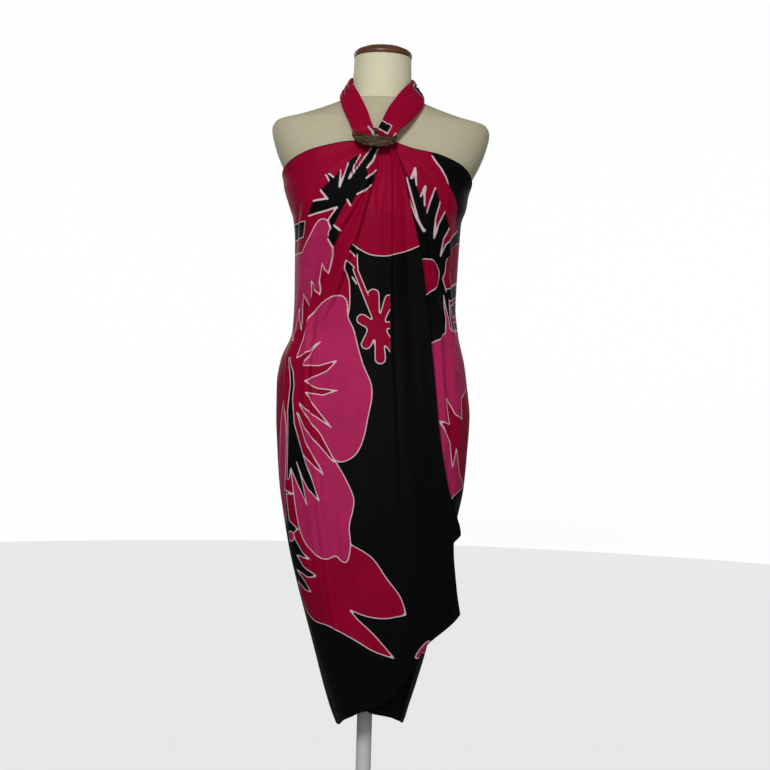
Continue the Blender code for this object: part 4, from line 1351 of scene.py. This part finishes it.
def band_path(stations, count):
    """Even steps along a band: places, widths, thicknesses, and its two cross directions."""
    rows = np.array(stations, dtype=float)
    run = np.concatenate(([0.0], np.cumsum(np.linalg.norm(np.diff(rows[:, :3], axis=0), axis=1))))
    at = np.linspace(0.0, run[-1], count)
    path = np.stack([smooth(at, run, rows[:, index]) for index in range(7)], axis=-1)
    tangent = np.gradient(path[:, :3], axis=0)
    tangent /= np.linalg.norm(tangent, axis=1)[:, None]
    azimuth, elevation = np.radians(path[:, 5]), np.radians(path[:, 6])
    level = np.cos(elevation)
    facing = np.stack((np.sin(azimuth) * level, -np.cos(azimuth) * level, np.sin(elevation)), axis=-1)
    wide = np.cross(facing, tangent)
    wide /= np.linalg.norm(wide, axis=1)[:, None]
    thick = np.cross(tangent, wide)
    return at, path, wide, thick


def tube_mesh(name, outer, inner, around, height, printed):
    """Closed hollow tube between two stacks of rings, open along its length."""
    rows, columns = outer.shape[:2]
    count = rows * columns
    spots = np.arange(count).reshape(rows, columns)
    after = np.roll(spots, -1, axis=1)
    a, b, c, d = spots[:-1].ravel(), after[:-1].ravel(), after[1:].ravel(), spots[1:].ravel()
    quads = [np.stack((a, b, c, d), 1), np.stack((a, d, c, b), 1) + count]
    for row, turned in ((0, False), (rows - 1, True)):
        ends = np.stack((spots[row], spots[row] + count, after[row] + count, after[row]), 1)
        quads.append(ends[:, ::-1] if turned else ends)
    return cloth_mesh(name, (outer, inner), np.concatenate(quads), around, height, printed)


def gathered_band(name, stations, motifs, count=STRAP_RINGS, folds=STRAP_FOLDS, mirrored=False):
    """Sweep a folded oval along a band."""
    rows = np.array(stations, dtype=float)
    if mirrored:
        rows[:, 0] *= -1
        rows[:, 5] *= -1
    at, path, wide, thick = band_path(rows, count)
    turn = 2 * math.pi * np.arange(STRAP_SIDES) / STRAP_SIDES
    u = np.sign(np.cos(turn)) * np.abs(np.cos(turn)) ** STRAP_OVAL
    v = np.sign(np.sin(turn)) * np.abs(np.sin(turn)) ** STRAP_OVAL
    share = at[:, None] / at[-1]
    across = np.broadcast_to(u[None, :], (count, STRAP_SIDES))
    dent = np.zeros((count, STRAP_SIDES))
    for place, half_width, depth, drift in folds:
        middle = place + drift * np.sin(DRIFT_TURNS * share + DRIFT_START * place)
        strength = DEPTH_MEAN + DEPTH_SWING * np.sin(DEPTH_TURNS * share + DEPTH_START * place)
        dent += depth * strength * np.exp(-(((across - middle) / half_width) ** 2))
    pinch = dent * np.clip(np.abs(v)[None, :] * EDGE_FADE, 0, 1)
    grids = []
    for inset in (0.0, SHEET):
        half_wide = path[:, 3:4] / 2 - inset
        least = LEAST_HALF - inset * LEAST_HALF_PER_INSET
        half_thick = np.maximum(path[:, 4:5] / 2 - inset - pinch, least)
        grid = (
            path[:, None, :3]
            + wide[:, None, :] * (u[None, :] * half_wide)[:, :, None]
            + thick[:, None, :] * (v[None, :] * half_thick)[:, :, None]
        )
        grids.append(grid)
    around = across * path[:, 3:4] / 2 + np.where(v[None, :] < 0, INNER_FACE_PLACE, 0.0)
    height = np.broadcast_to(at[:, None], around.shape)
    printed = print_cloth(height, (around, motifs))
    printed["from_edge"] = np.full(around.shape, FAR)
    mesh = tube_mesh(name, grids[0], grids[1], around, height, printed)
    piece = link_piece(name + "_band", mesh, cloth_finish)
    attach(piece, BODY)
    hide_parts(name)
    print(name, "has", 2 * len(mesh.polygons), "triangles")
    return piece


# %% Print on the bands
ALL_CRIMSON = (
    "crimson_ground", flame([(-60.0, -60.0), (-60.0, 460.0), (260.0, 460.0), (260.0, -60.0)]),
)
LEFT_BAND_MOTIFS = [ALL_CRIMSON, ("black_leaves", finger((-11.0, 4.0), (-9.0, 24.0), 3.4))]
RIGHT_BAND_MOTIFS = [
    ALL_CRIMSON,
    ("black_leaves", flame([(44.0, 16.0), (-4.0, 17.0), (-3.0, 31.0), (44.0, 32.0)])),
    ("black_leaves", flame([(-14.5, 4.0), (-15.5, 24.0), (-30.0, 26.0), (-30.0, 4.0)])),
    ("black_leaves", flame([
        (-30.0, 150.0), (2.0, 147.0), (11.0, 155.0), (12.0, 172.0), (4.0, 184.0), (-30.0, 186.0),
    ])),
]
strap_left = gathered_band("strap_left", LEFT_STRAP, LEFT_BAND_MOTIFS)
strap_right = gathered_band("strap_right", RIGHT_STRAP, RIGHT_BAND_MOTIFS)

# %% Ends that hang from the knot
TIE_END = (
    (7.0, 69.7, 1452.2, 13.0, 6.0, 176.0, 14.0),
    (12.0, 75.0, 1430.0, 22.0, 5.0, 174.0, 16.0),
    (19.0, 80.5, 1403.0, 31.0, 4.5, 170.0, 14.0),
    (27.0, 86.0, 1376.0, 38.0, 4.0, 166.0, 10.0),
    (33.0, 90.5, 1354.0, 43.0, 4.0, 164.0, 8.0),
)
TIE_FOLDS = ((-0.5, 0.16, 1.1, 0.05), (0.05, 0.18, 0.9, -0.05), (0.5, 0.14, 1.2, 0.06))
end_left = gathered_band("tie_end_left", TIE_END, [ALL_CRIMSON], 60, TIE_FOLDS, mirrored=True)
end_right = gathered_band("tie_end_right", TIE_END, [ALL_CRIMSON], 60, TIE_FOLDS)

# %% [markdown]
# ## The knot
#
# Two bands tied once make a knot that looks like a small three-lobed loop pulled tight. A thick
# tube along a trefoil curve gives that look. A voxel remesh then melts the strands together
# where they are squeezed, which also closes the mesh.

# %% Tie the knot
KNOT_CENTRE = (0.0, 65.5, 1468.0)
KNOT_RADII = (14.0, 13.0, 17.0)
KNOT_STRAND = 5.6
KNOT_FLATNESS = 0.8
KNOT_STEPS = 120


def trefoil(share):
    """A place on the loop of the knot, for a share of the way round it."""
    t = 2 * math.pi * share
    return (
        (math.sin(t) + 2 * math.sin(2 * t)) / 3.0,
        -math.sin(3 * t) * KNOT_FLATNESS,
        (math.cos(t) - 2 * math.cos(2 * t)) / 3.0,
    )


knot_curve = bpy.data.curves.new("knot", "CURVE")
knot_curve.dimensions = "3D"
knot_curve.bevel_depth = KNOT_STRAND * MM
knot_curve.bevel_resolution = 6
spline = knot_curve.splines.new("POLY")
spline.points.add(KNOT_STEPS - 1)
spline.use_cyclic_u = True
for step in range(KNOT_STEPS):
    spot = trefoil(step / KNOT_STEPS)
    spots = [
        (KNOT_CENTRE[axis] + spot[axis] * (KNOT_RADII[axis] - KNOT_STRAND)) * MM for axis in range(3)
    ]
    spline.points[step].co = (*spots, 1.0)
loop = bpy.data.objects.new("knot_loop", knot_curve)
bpy.context.scene.collection.objects.link(loop)
knot = bpy.data.objects.new("nape_knot_tied", bpy.data.meshes.new_from_object(loop))
bpy.context.scene.collection.objects.link(knot)
bpy.data.objects.remove(loop)
remesh = knot.modifiers.new("melt", "REMESH")
remesh.mode = "VOXEL"
remesh.voxel_size = 0.0011
relax = knot.modifiers.new("relax", "SMOOTH")
relax.factor = 0.5
relax.iterations = 4
bpy.context.view_layer.update()
tied = bpy.data.meshes.new_from_object(knot.evaluated_get(bpy.context.evaluated_depsgraph_get()))
knot.modifiers.clear()
knot.data = tied
tied.materials.clear()
tied.materials.append(cloth_finish)
for layer in ("crimson_dye", "rose_dye", "plain_black", "bare_strokes", "from_edge"):
    level = FAR if layer in ("crimson_dye", "from_edge") else -FAR
    store = tied.attributes.new(layer, "FLOAT", "POINT")
    store.data.foreach_set("value", np.full(len(tied.vertices), level, np.float32))
tied.shade_smooth()
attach(knot, BODY)
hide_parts("nape_knot")
print("knot has", len(tied.polygons), "faces")

# %% [markdown]
# ## The coconut ring
#
# The ring is cut from a coconut shell: a flat band with worn, rounded edges, dark brown with
# lighter fibres that run round it. Its solid stays as the guide, and a finer band with small
# dents takes its place.

# %% Carve the ring
RING_CENTRE = (-10.0, -118.0, 1337.0)
RING_OUTER_RADIUS = 40.0
RING_THICKNESS = 6.0
RING_TILT = math.radians(35.0)
RING_ROLL = math.radians(6.0)
RING_STEPS = 220
RING_SIDES = 40
RING_BACK_RADIUS = 31.0
RING_HOLE = (26.0, 10.5)
RING_HOLE_BACK = 12.0
# Powers below 1 square the round section, and the crown thickens its middle.
RING_FACE_POWER, RING_EDGE_POWER, RING_CROWN = 0.7, 0.8, 0.18
# Wear is a sum of waves. It moves the faces by its share of a millimetre, and the edges less.
WEAR_WAVES, WEAR_DEPTH, WEAR_ON_FACES, WEAR_ON_EDGES = 6, 0.20, 0.6, 0.02


def ring_mesh():
    """Band between a round rim and an oval hole that lies nearer the back."""
    turned_over = Matrix.Rotation(RING_ROLL, 4, "Y") @ Matrix.Rotation(RING_TILT, 4, "X")
    place = Matrix.Translation(RING_CENTRE) @ turned_over
    generator = np.random.default_rng(7)
    waves = generator.uniform(0, 2 * math.pi, (WEAR_WAVES, 2))
    corners = []
    for step in range(RING_STEPS):
        turn = 2 * math.pi * step / RING_STEPS
        back_radius = RING_BACK_RADIUS if turn < math.pi else RING_OUTER_RADIUS
        rim = np.array((RING_OUTER_RADIUS * math.cos(turn), back_radius * math.sin(turn)))
        hole = np.array((RING_HOLE[0] * math.cos(turn), RING_HOLE_BACK + RING_HOLE[1] * math.sin(turn)))
        for side in range(RING_SIDES):
            bend = 2 * math.pi * side / RING_SIDES
            wear = sum(
                WEAR_DEPTH * math.sin((3 + 4 * k) * turn + along) * math.cos((1 + k) * bend + round_it)
                for k, (along, round_it) in enumerate(waves)
            )
            flat = math.copysign(abs(math.sin(bend)) ** RING_FACE_POWER, math.sin(bend))
            edge = math.copysign(abs(math.cos(bend)) ** RING_EDGE_POWER, math.cos(bend))
            across = (rim + hole) / 2 + (rim - hole) / 2 * edge * (1 + wear * WEAR_ON_EDGES)
            crown = 1.0 + RING_CROWN * (1 - edge * edge)
            rise = flat * (RING_THICKNESS / 2 * crown + wear * WEAR_ON_FACES)
            corners.append(place @ Vector((across[0], across[1], rise)) * MM)
    faces = []
    for step in range(RING_STEPS):
        after = (step + 1) % RING_STEPS
        for side in range(RING_SIDES):
            beside = (side + 1) % RING_SIDES
            faces.append((
                step * RING_SIDES + side,
                after * RING_SIDES + side,
                after * RING_SIDES + beside,
                step * RING_SIDES + beside,
            ))
    mesh = bpy.data.meshes.new("coconut_ring")
    mesh.from_pydata(corners, [], faces)
    mesh.shade_smooth()
    return mesh


shell_finish = plain_finish("coconut shell", (0.10, 0.06, 0.035), 0.42, specular=0.35)
tree = shell_finish.node_tree
shader = tree.nodes["Principled BSDF"]
where = tree.nodes.new("ShaderNodeTexCoord")
stretch = tree.nodes.new("ShaderNodeMapping")
stretch.inputs["Scale"].default_value = (70.0, 120.0, 330.0)
tree.links.new(where.outputs["Object"], stretch.inputs["Vector"])
fibres = add_node(tree, "ShaderNodeTexNoise", Scale=1.0, Detail=6.0, Roughness=0.65, Distortion=0.8)
tree.links.new(stretch.outputs["Vector"], fibres.inputs["Vector"])
dark_shell, light_shell = (0.022, 0.011, 0.005), (0.29, 0.165, 0.070)
grain = ramp(tree, fibres.outputs["Fac"], 0.47, 0.72)
tree.links.new(mixed(tree, grain, dark_shell, light_shell), shader.inputs["Base Color"])
shell_bump = add_node(tree, "ShaderNodeBump", Strength=0.6, Distance=0.0008)
tree.links.new(fibres.outputs["Fac"], shell_bump.inputs["Height"])
tree.links.new(shell_bump.outputs["Normal"], shader.inputs["Normal"])
ring = link_piece("coconut_ring_carved", ring_mesh(), shell_finish)
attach(ring, BODY)
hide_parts("coconut_ring")
print("ring has", len(ring.data.polygons), "faces")

# %% [markdown]
# ## The dress form and its stand
#
# The form is covered with cream jersey, tight and smooth, and capped with varnished wood. Their
# solids have few faces, so each gets a finer skin from the same sections: the torso is lofted,
# and the cap, the pole and the base are turned, as on a lathe.

# %% Loft and turn
FORM_SECTIONS = (
    (740.0, 150.0, 92.0, 112.0, 2.2, 0.0),
    (850.0, 165.0, 99.0, 121.0, 2.2, 0.0),
    (950.0, 155.0, 95.0, 108.0, 2.2, 0.0),
    (1055.0, 128.0, 88.0, 88.0, 2.1, 0.0),
    (1130.0, 136.0, 102.0, 92.0, 2.2, 0.0),
    (1200.0, 144.0, 122.0, 96.0, 2.3, 0.0),
    (1255.0, 157.0, 114.0, 97.0, 2.3, 0.0),
    (1300.0, 181.0, 103.0, 95.0, 2.4, 0.0),
    (1335.0, 194.5, 93.0, 90.0, 2.4, 0.0),
    (1366.0, 200.7, 82.0, 80.0, 2.3, 0.0),
    (1381.0, 194.0, 75.0, 73.0, 2.2, 0.0),
    (1395.0, 150.0, 69.0, 68.0, 2.1, 2.0),
    (1412.0, 103.0, 62.0, 64.0, 2.0, 5.0),
    (1424.0, 76.0, 57.0, 60.0, 2.0, 8.0),
    (1436.0, 60.5, 53.0, 57.0, 2.0, 10.0),
    (1452.0, 54.5, 51.0, 53.0, 2.0, 6.0),
    (1475.0, 53.5, 50.0, 51.0, 2.0, 2.0),
    (1503.0, 52.5, 50.0, 50.0, 2.0, 0.0),
)
FORM_FOOT, CHEST, NECK_TOP = 740.0, 1335.0, 1503.0
LOWER_RINGS, UPPER_RINGS = 40, 70
SKIN_GAP = 0.3
CAP_RADIUS = 54.0
CAP_PROFILE = (
    (0.96, 0.0), (0.985, 0.3), (1.0, 2.0), (1.0, 6.0), (0.975, 9.0), (0.90, 12.6), (0.72, 16.8),
    (0.52, 19.4), (0.30, 20.8), (0.10, 21.3),
)
BASE_PROFILE = (
    (156.0, 0.0), (159.0, 0.6), (160.0, 2.0), (160.0, 4.5), (158.0, 6.0), (115.0, 9.0), (60.0, 11.5),
    (28.6, 14.0), (23.5, 15.5), (22.0, 19.0), (22.0, 50.0), (21.4, 51.6), (20.0, 52.0),
)
POLE_RADIUS = 14.0


def loft_mesh(name, rings):
    """Closed skin over a stack of rings, counted from below."""
    rows, columns = len(rings), len(rings[0])
    spots = np.arange(rows * columns).reshape(rows, columns)
    after = np.roll(spots, -1, axis=1)
    quads = np.stack((spots[:-1], after[:-1], after[1:], spots[1:]), -1).reshape(-1, 4).tolist()
    quads.append(spots[0][::-1].tolist())
    quads.append(spots[-1].tolist())
    mesh = bpy.data.meshes.new(name)
    mesh.from_pydata((np.concatenate(rings) * MM).tolist(), [], quads)
    mesh.shade_smooth()
    mesh.set_sharp_from_angle(angle=math.radians(50))
    return mesh


def turned_mesh(name, profile, sides=128):
    """Closed skin of a turned piece from its radii and heights."""
    turn = 2 * math.pi * np.arange(sides) / sides
    rings = [
        np.stack((radius * np.cos(turn), radius * np.sin(turn), np.full(sides, height)), -1)
        for radius, height in profile
    ]
    return loft_mesh(name, rings)


def torso_mesh(sides=160):
    """Closed skin of the torso, with more rings above the chest, where it shows."""
    angles = 2 * math.pi * np.arange(sides) / sides
    levels = column(FORM_SECTIONS, 0)
    rings = []
    lower = np.linspace(FORM_FOOT, CHEST, LOWER_RINGS)[:-1]
    for height in np.concatenate((lower, np.linspace(CHEST, NECK_TOP, UPPER_RINGS))):
        width, front, back, square, rise = (
            smooth(height, levels, column(FORM_SECTIONS, index)) for index in range(1, 6)
        )
        x, y = on_section(angles, width, front, back, square)[:2]
        rings.append(np.stack((x, y, height + rise * y / back), -1))
    return loft_mesh("form_cover", rings)


def dress(node, mesh, material):
    """Put a finer skin in place of a solid."""
    piece = link_piece(node + "_skin", mesh, material)
    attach(piece, BODY)
    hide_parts(node)
    print(node, "has", len(mesh.polygons), "faces")


# %% Finish the form
NECK_SEAM = 1.421
SEAM_HALF, SEAM_BLUR = 0.0003, 0.0010
SEAM_STEP = 0.0015


def fine_bump(tree, where, scale, strength):
    """Roughen a surface with fine noise laid in Object coordinates."""
    noise = add_node(tree, "ShaderNodeTexNoise", Scale=scale, Detail=2.0)
    tree.links.new(where.outputs["Object"], noise.inputs["Vector"])
    bump = add_node(tree, "ShaderNodeBump", Strength=strength, Distance=0.0003)
    tree.links.new(noise.outputs["Fac"], bump.inputs["Height"])
    tree.links.new(bump.outputs["Normal"], tree.nodes["Principled BSDF"].inputs["Normal"])


cream = plain_finish("cream jersey", (0.76, 0.71, 0.58), 0.6, specular=0.3)
tree = cream.node_tree
shader = tree.nodes["Principled BSDF"]
where = tree.nodes.new("ShaderNodeTexCoord")
mottle = add_node(tree, "ShaderNodeTexNoise", Scale=9.0, Detail=3.0)
tree.links.new(where.outputs["Object"], mottle.inputs["Vector"])
light_cream, deep_cream = (0.83, 0.79, 0.56), (0.76, 0.71, 0.48)
covered = mixed(tree, ramp(tree, mottle.outputs["Fac"], 0.3, 0.7), light_cream, deep_cream)
axes = tree.nodes.new("ShaderNodeSeparateXYZ")
tree.links.new(where.outputs["Object"], axes.inputs["Vector"])
# Below the neck seam the cream is painted darker and a little warmer: mostly painted shade over the
# shoulders and chest.
below_seam = ramp(tree, axes.outputs["Z"], NECK_SEAM + SEAM_STEP, NECK_SEAM)
painted_shade_colour, seam_colour = (0.60, 0.545, 0.37), (0.42, 0.37, 0.24)
with_painted_shade = mixed(tree, below_seam, covered, painted_shade_colour)
away = tree.nodes.new("ShaderNodeMath")
away.operation = "SUBTRACT"
away.inputs[1].default_value = NECK_SEAM
tree.links.new(axes.outputs["Z"], away.inputs[0])
distance = tree.nodes.new("ShaderNodeMath")
distance.operation = "ABSOLUTE"
tree.links.new(away.outputs["Value"], distance.inputs[0])
beside_seam = ramp(tree, distance.outputs["Value"], SEAM_HALF, SEAM_BLUR)
tree.links.new(mixed(tree, beside_seam, seam_colour, with_painted_shade), shader.inputs["Base Color"])
fine_bump(tree, where, 900.0, 0.15)
dress("form_torso", torso_mesh(), cream)

wood = plain_finish("varnished wood", (0.16, 0.06, 0.03), 0.42, specular=0.35)
tree = wood.node_tree
shader = tree.nodes["Principled BSDF"]
shader.inputs["Coat Weight"].default_value = 0.12
shader.inputs["Coat Roughness"].default_value = 0.3
where = tree.nodes.new("ShaderNodeTexCoord")
grain_map = tree.nodes.new("ShaderNodeMapping")
grain_map.inputs["Scale"].default_value = (25.0, 180.0, 180.0)
tree.links.new(where.outputs["Object"], grain_map.inputs["Vector"])
rings = add_node(tree, "ShaderNodeTexNoise", Scale=1.0, Detail=5.0, Distortion=1.5)
tree.links.new(grain_map.outputs["Vector"], rings.inputs["Vector"])
light_wood, dark_wood = (0.19, 0.072, 0.032), (0.075, 0.026, 0.014)
grain = ramp(tree, rings.outputs["Fac"], 0.35, 0.65)
tree.links.new(mixed(tree, grain, light_wood, dark_wood), shader.inputs["Base Color"])
cap = [(share * CAP_RADIUS, NECK_TOP + SKIN_GAP + height) for share, height in CAP_PROFILE]
dress("form_neck_cap", turned_mesh("cap", cap), wood)

stand = plain_finish("powder coat", (0.80, 0.79, 0.76), 0.45, specular=0.5)
fine_bump(stand.node_tree, stand.node_tree.nodes.new("ShaderNodeTexCoord"), 700.0, 0.2)
pole = [(POLE_RADIUS, BASE_PROFILE[-1][1] + SKIN_GAP), (POLE_RADIUS, FORM_FOOT - SKIN_GAP)]
dress("form_pole", turned_mesh("pole", pole, 64), stand)
dress("form_base", turned_mesh("base", BASE_PROFILE), stand)
print("form, cap and stand finished")

# %% [markdown]
# ## Hem stitches
#
# The edge is turned over twice and sewn by machine. A row of stitches follows it, so this is a
# job for Geometry Nodes: one thread-thick bead, placed along a line at an even pitch. The lines
# are rows of the cloth's own grid, so they lie in its surface.

# %% Grow the stitches
STITCH_PITCH = 0.0034
STITCH_LENGTH = 0.0024
STITCH_RADIUS = 0.00026


def stitch_tree():
    """Node tree that sets a bead at every pitch along lines."""
    tree = bpy.data.node_groups.new("hem stitches", "GeometryNodeTree")
    tree.interface.new_socket("Geometry", in_out="INPUT", socket_type="NodeSocketGeometry")
    tree.interface.new_socket("Pitch", in_out="INPUT", socket_type="NodeSocketFloat")
    tree.interface.new_socket("Bead", in_out="INPUT", socket_type="NodeSocketVector")
    tree.interface.new_socket("Thread", in_out="INPUT", socket_type="NodeSocketMaterial")
    tree.interface.new_socket("Geometry", in_out="OUTPUT", socket_type="NodeSocketGeometry")
    into = tree.nodes.new("NodeGroupInput")
    out = tree.nodes.new("NodeGroupOutput")
    lines = tree.nodes.new("GeometryNodeMeshToCurve")
    spots = tree.nodes.new("GeometryNodeCurveToPoints")
    spots.mode = "LENGTH"
    bead = tree.nodes.new("GeometryNodeMeshUVSphere")
    bead.inputs["Segments"].default_value = 6
    bead.inputs["Rings"].default_value = 4
    bead.inputs["Radius"].default_value = 1.0
    stretch = tree.nodes.new("GeometryNodeTransform")
    turn = tree.nodes.new("FunctionNodeAlignRotationToVector")
    turn.axis = "Z"
    sew = tree.nodes.new("GeometryNodeInstanceOnPoints")
    whole = tree.nodes.new("GeometryNodeRealizeInstances")
    colour = tree.nodes.new("GeometryNodeSetMaterial")
    tree.links.new(into.outputs["Geometry"], lines.inputs["Mesh"])
    tree.links.new(lines.outputs["Curve"], spots.inputs["Curve"])
    tree.links.new(into.outputs["Pitch"], spots.inputs["Length"])
    tree.links.new(bead.outputs["Mesh"], stretch.inputs["Geometry"])
    tree.links.new(into.outputs["Bead"], stretch.inputs["Scale"])
    tree.links.new(spots.outputs["Tangent"], turn.inputs["Vector"])
    tree.links.new(spots.outputs["Points"], sew.inputs["Points"])
    tree.links.new(stretch.outputs["Geometry"], sew.inputs["Instance"])
    tree.links.new(turn.outputs["Rotation"], sew.inputs["Rotation"])
    tree.links.new(sew.outputs["Instances"], whole.inputs["Geometry"])
    tree.links.new(whole.outputs["Geometry"], colour.inputs["Geometry"])
    tree.links.new(into.outputs["Thread"], colour.inputs["Material"])
    tree.links.new(colour.outputs["Geometry"], out.inputs["Geometry"])
    return tree


def stitch(name, lines, tree, thread):
    """Sew beads along lines of points, and keep the result as a plain mesh."""
    corners, edges = [], []
    for line in lines:
        first = len(corners)
        corners += (np.asarray(line) * MM).tolist()
        edges += [(first + k, first + k + 1) for k in range(len(line) - 1)]
    guide_mesh = bpy.data.meshes.new(name + "_guide")
    guide_mesh.from_pydata(corners, edges, [])
    guide = bpy.data.objects.new(name + "_guide", guide_mesh)
    bpy.context.scene.collection.objects.link(guide)
    modifier = guide.modifiers.new("stitches", "NODES")
    modifier.node_group = tree
    values = {
        "Pitch": STITCH_PITCH,
        "Bead": (STITCH_RADIUS, STITCH_RADIUS, STITCH_LENGTH / 2),
        "Thread": thread,
    }
    for socket in tree.interface.items_tree:
        if socket.in_out == "INPUT" and socket.name in values:
            modifier[socket.identifier] = values[socket.name]
    bpy.context.view_layer.update()
    sewn = bpy.data.meshes.new_from_object(guide.evaluated_get(bpy.context.evaluated_depsgraph_get()))
    bpy.data.objects.remove(guide)
    sewn.name = name
    sewn.shade_smooth()
    piece = bpy.data.objects.new(name, sewn)
    bpy.context.scene.collection.objects.link(piece)
    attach(piece, BODY)
    print(name, "has", len(sewn.polygons), "faces")
    return piece


thread = plain_finish("sewing thread", (0.020, 0.004, 0.008), 0.5, specular=0.3)
dark_thread, light_thread = (0.012, 0.003, 0.005), (0.05, 0.008, 0.018)
fuzz = thread.node_tree
where = fuzz.nodes.new("ShaderNodeTexCoord")
twist = add_node(fuzz, "ShaderNodeTexNoise", Scale=2500.0, Detail=1.0)
fuzz.links.new(where.outputs["Object"], twist.inputs["Vector"])
spun = mixed(fuzz, twist.outputs["Fac"], dark_thread, light_thread)
fuzz.links.new(spun, fuzz.nodes["Principled BSDF"].inputs["Base Color"])
SEAM_ROW = 3
tree = stitch_tree()
over_lines = (over_outer[SEAM_ROW], over_outer[-1 - SEAM_ROW], over_outer[:, -1 - SEAM_ROW])
over_stitches = stitch("over_hem_stitches", over_lines, tree, thread)
under_stitches = stitch(
    "under_hem_stitches", (under_outer[SEAM_ROW], under_outer[-1 - SEAM_ROW]), tree, thread)
back_stitches = stitch("back_hem_stitches", (back_outer[SEAM_ROW], back_outer[-1 - SEAM_ROW]), tree, thread)

# %% [markdown]
# ## What was cut, and how big it came out
#
# Every stretch of cloth is listed with the flat size that it was cut to. The areas are
# measured on the sheets, so the sizes can be checked against what was made.

def one_side(piece):
    """Area of a thin sheet's outer face in square metres."""
    return sum(face.area for face in piece.data.polygons) / 2


# Columns: piece, width and length of its cut, area of its cut, how it is held, what it rests on,
# and what is sewn on it. A band's width is measured all round.
CUT = (
    (over, (0.46, 1.07), 0.37, "draped", ("form_torso", under.name), [over_stitches]),
    (under, (0.36, 1.05), 0.29, "draped", ("form_torso",), [under_stitches]),
    (back, (0.50, 0.99), 0.44, "draped", ("form_torso",), [back_stitches]),
    (strap_left, (0.085, 0.235), None, "gathered", (ring.name, "form_torso"), [knot]),
    (strap_right, (0.090, 0.235), None, "gathered", (ring.name, "form_torso"), []),
    (end_left, (0.065, 0.10), None, "hung", (knot.name,), []),
    (end_right, (0.065, 0.10), None, "hung", (knot.name,), []),
)
for piece, flat, area, held, rests_on, sewn_on in CUT:
    print(piece.name, "measures", round(one_side(piece), 4), "square metres")
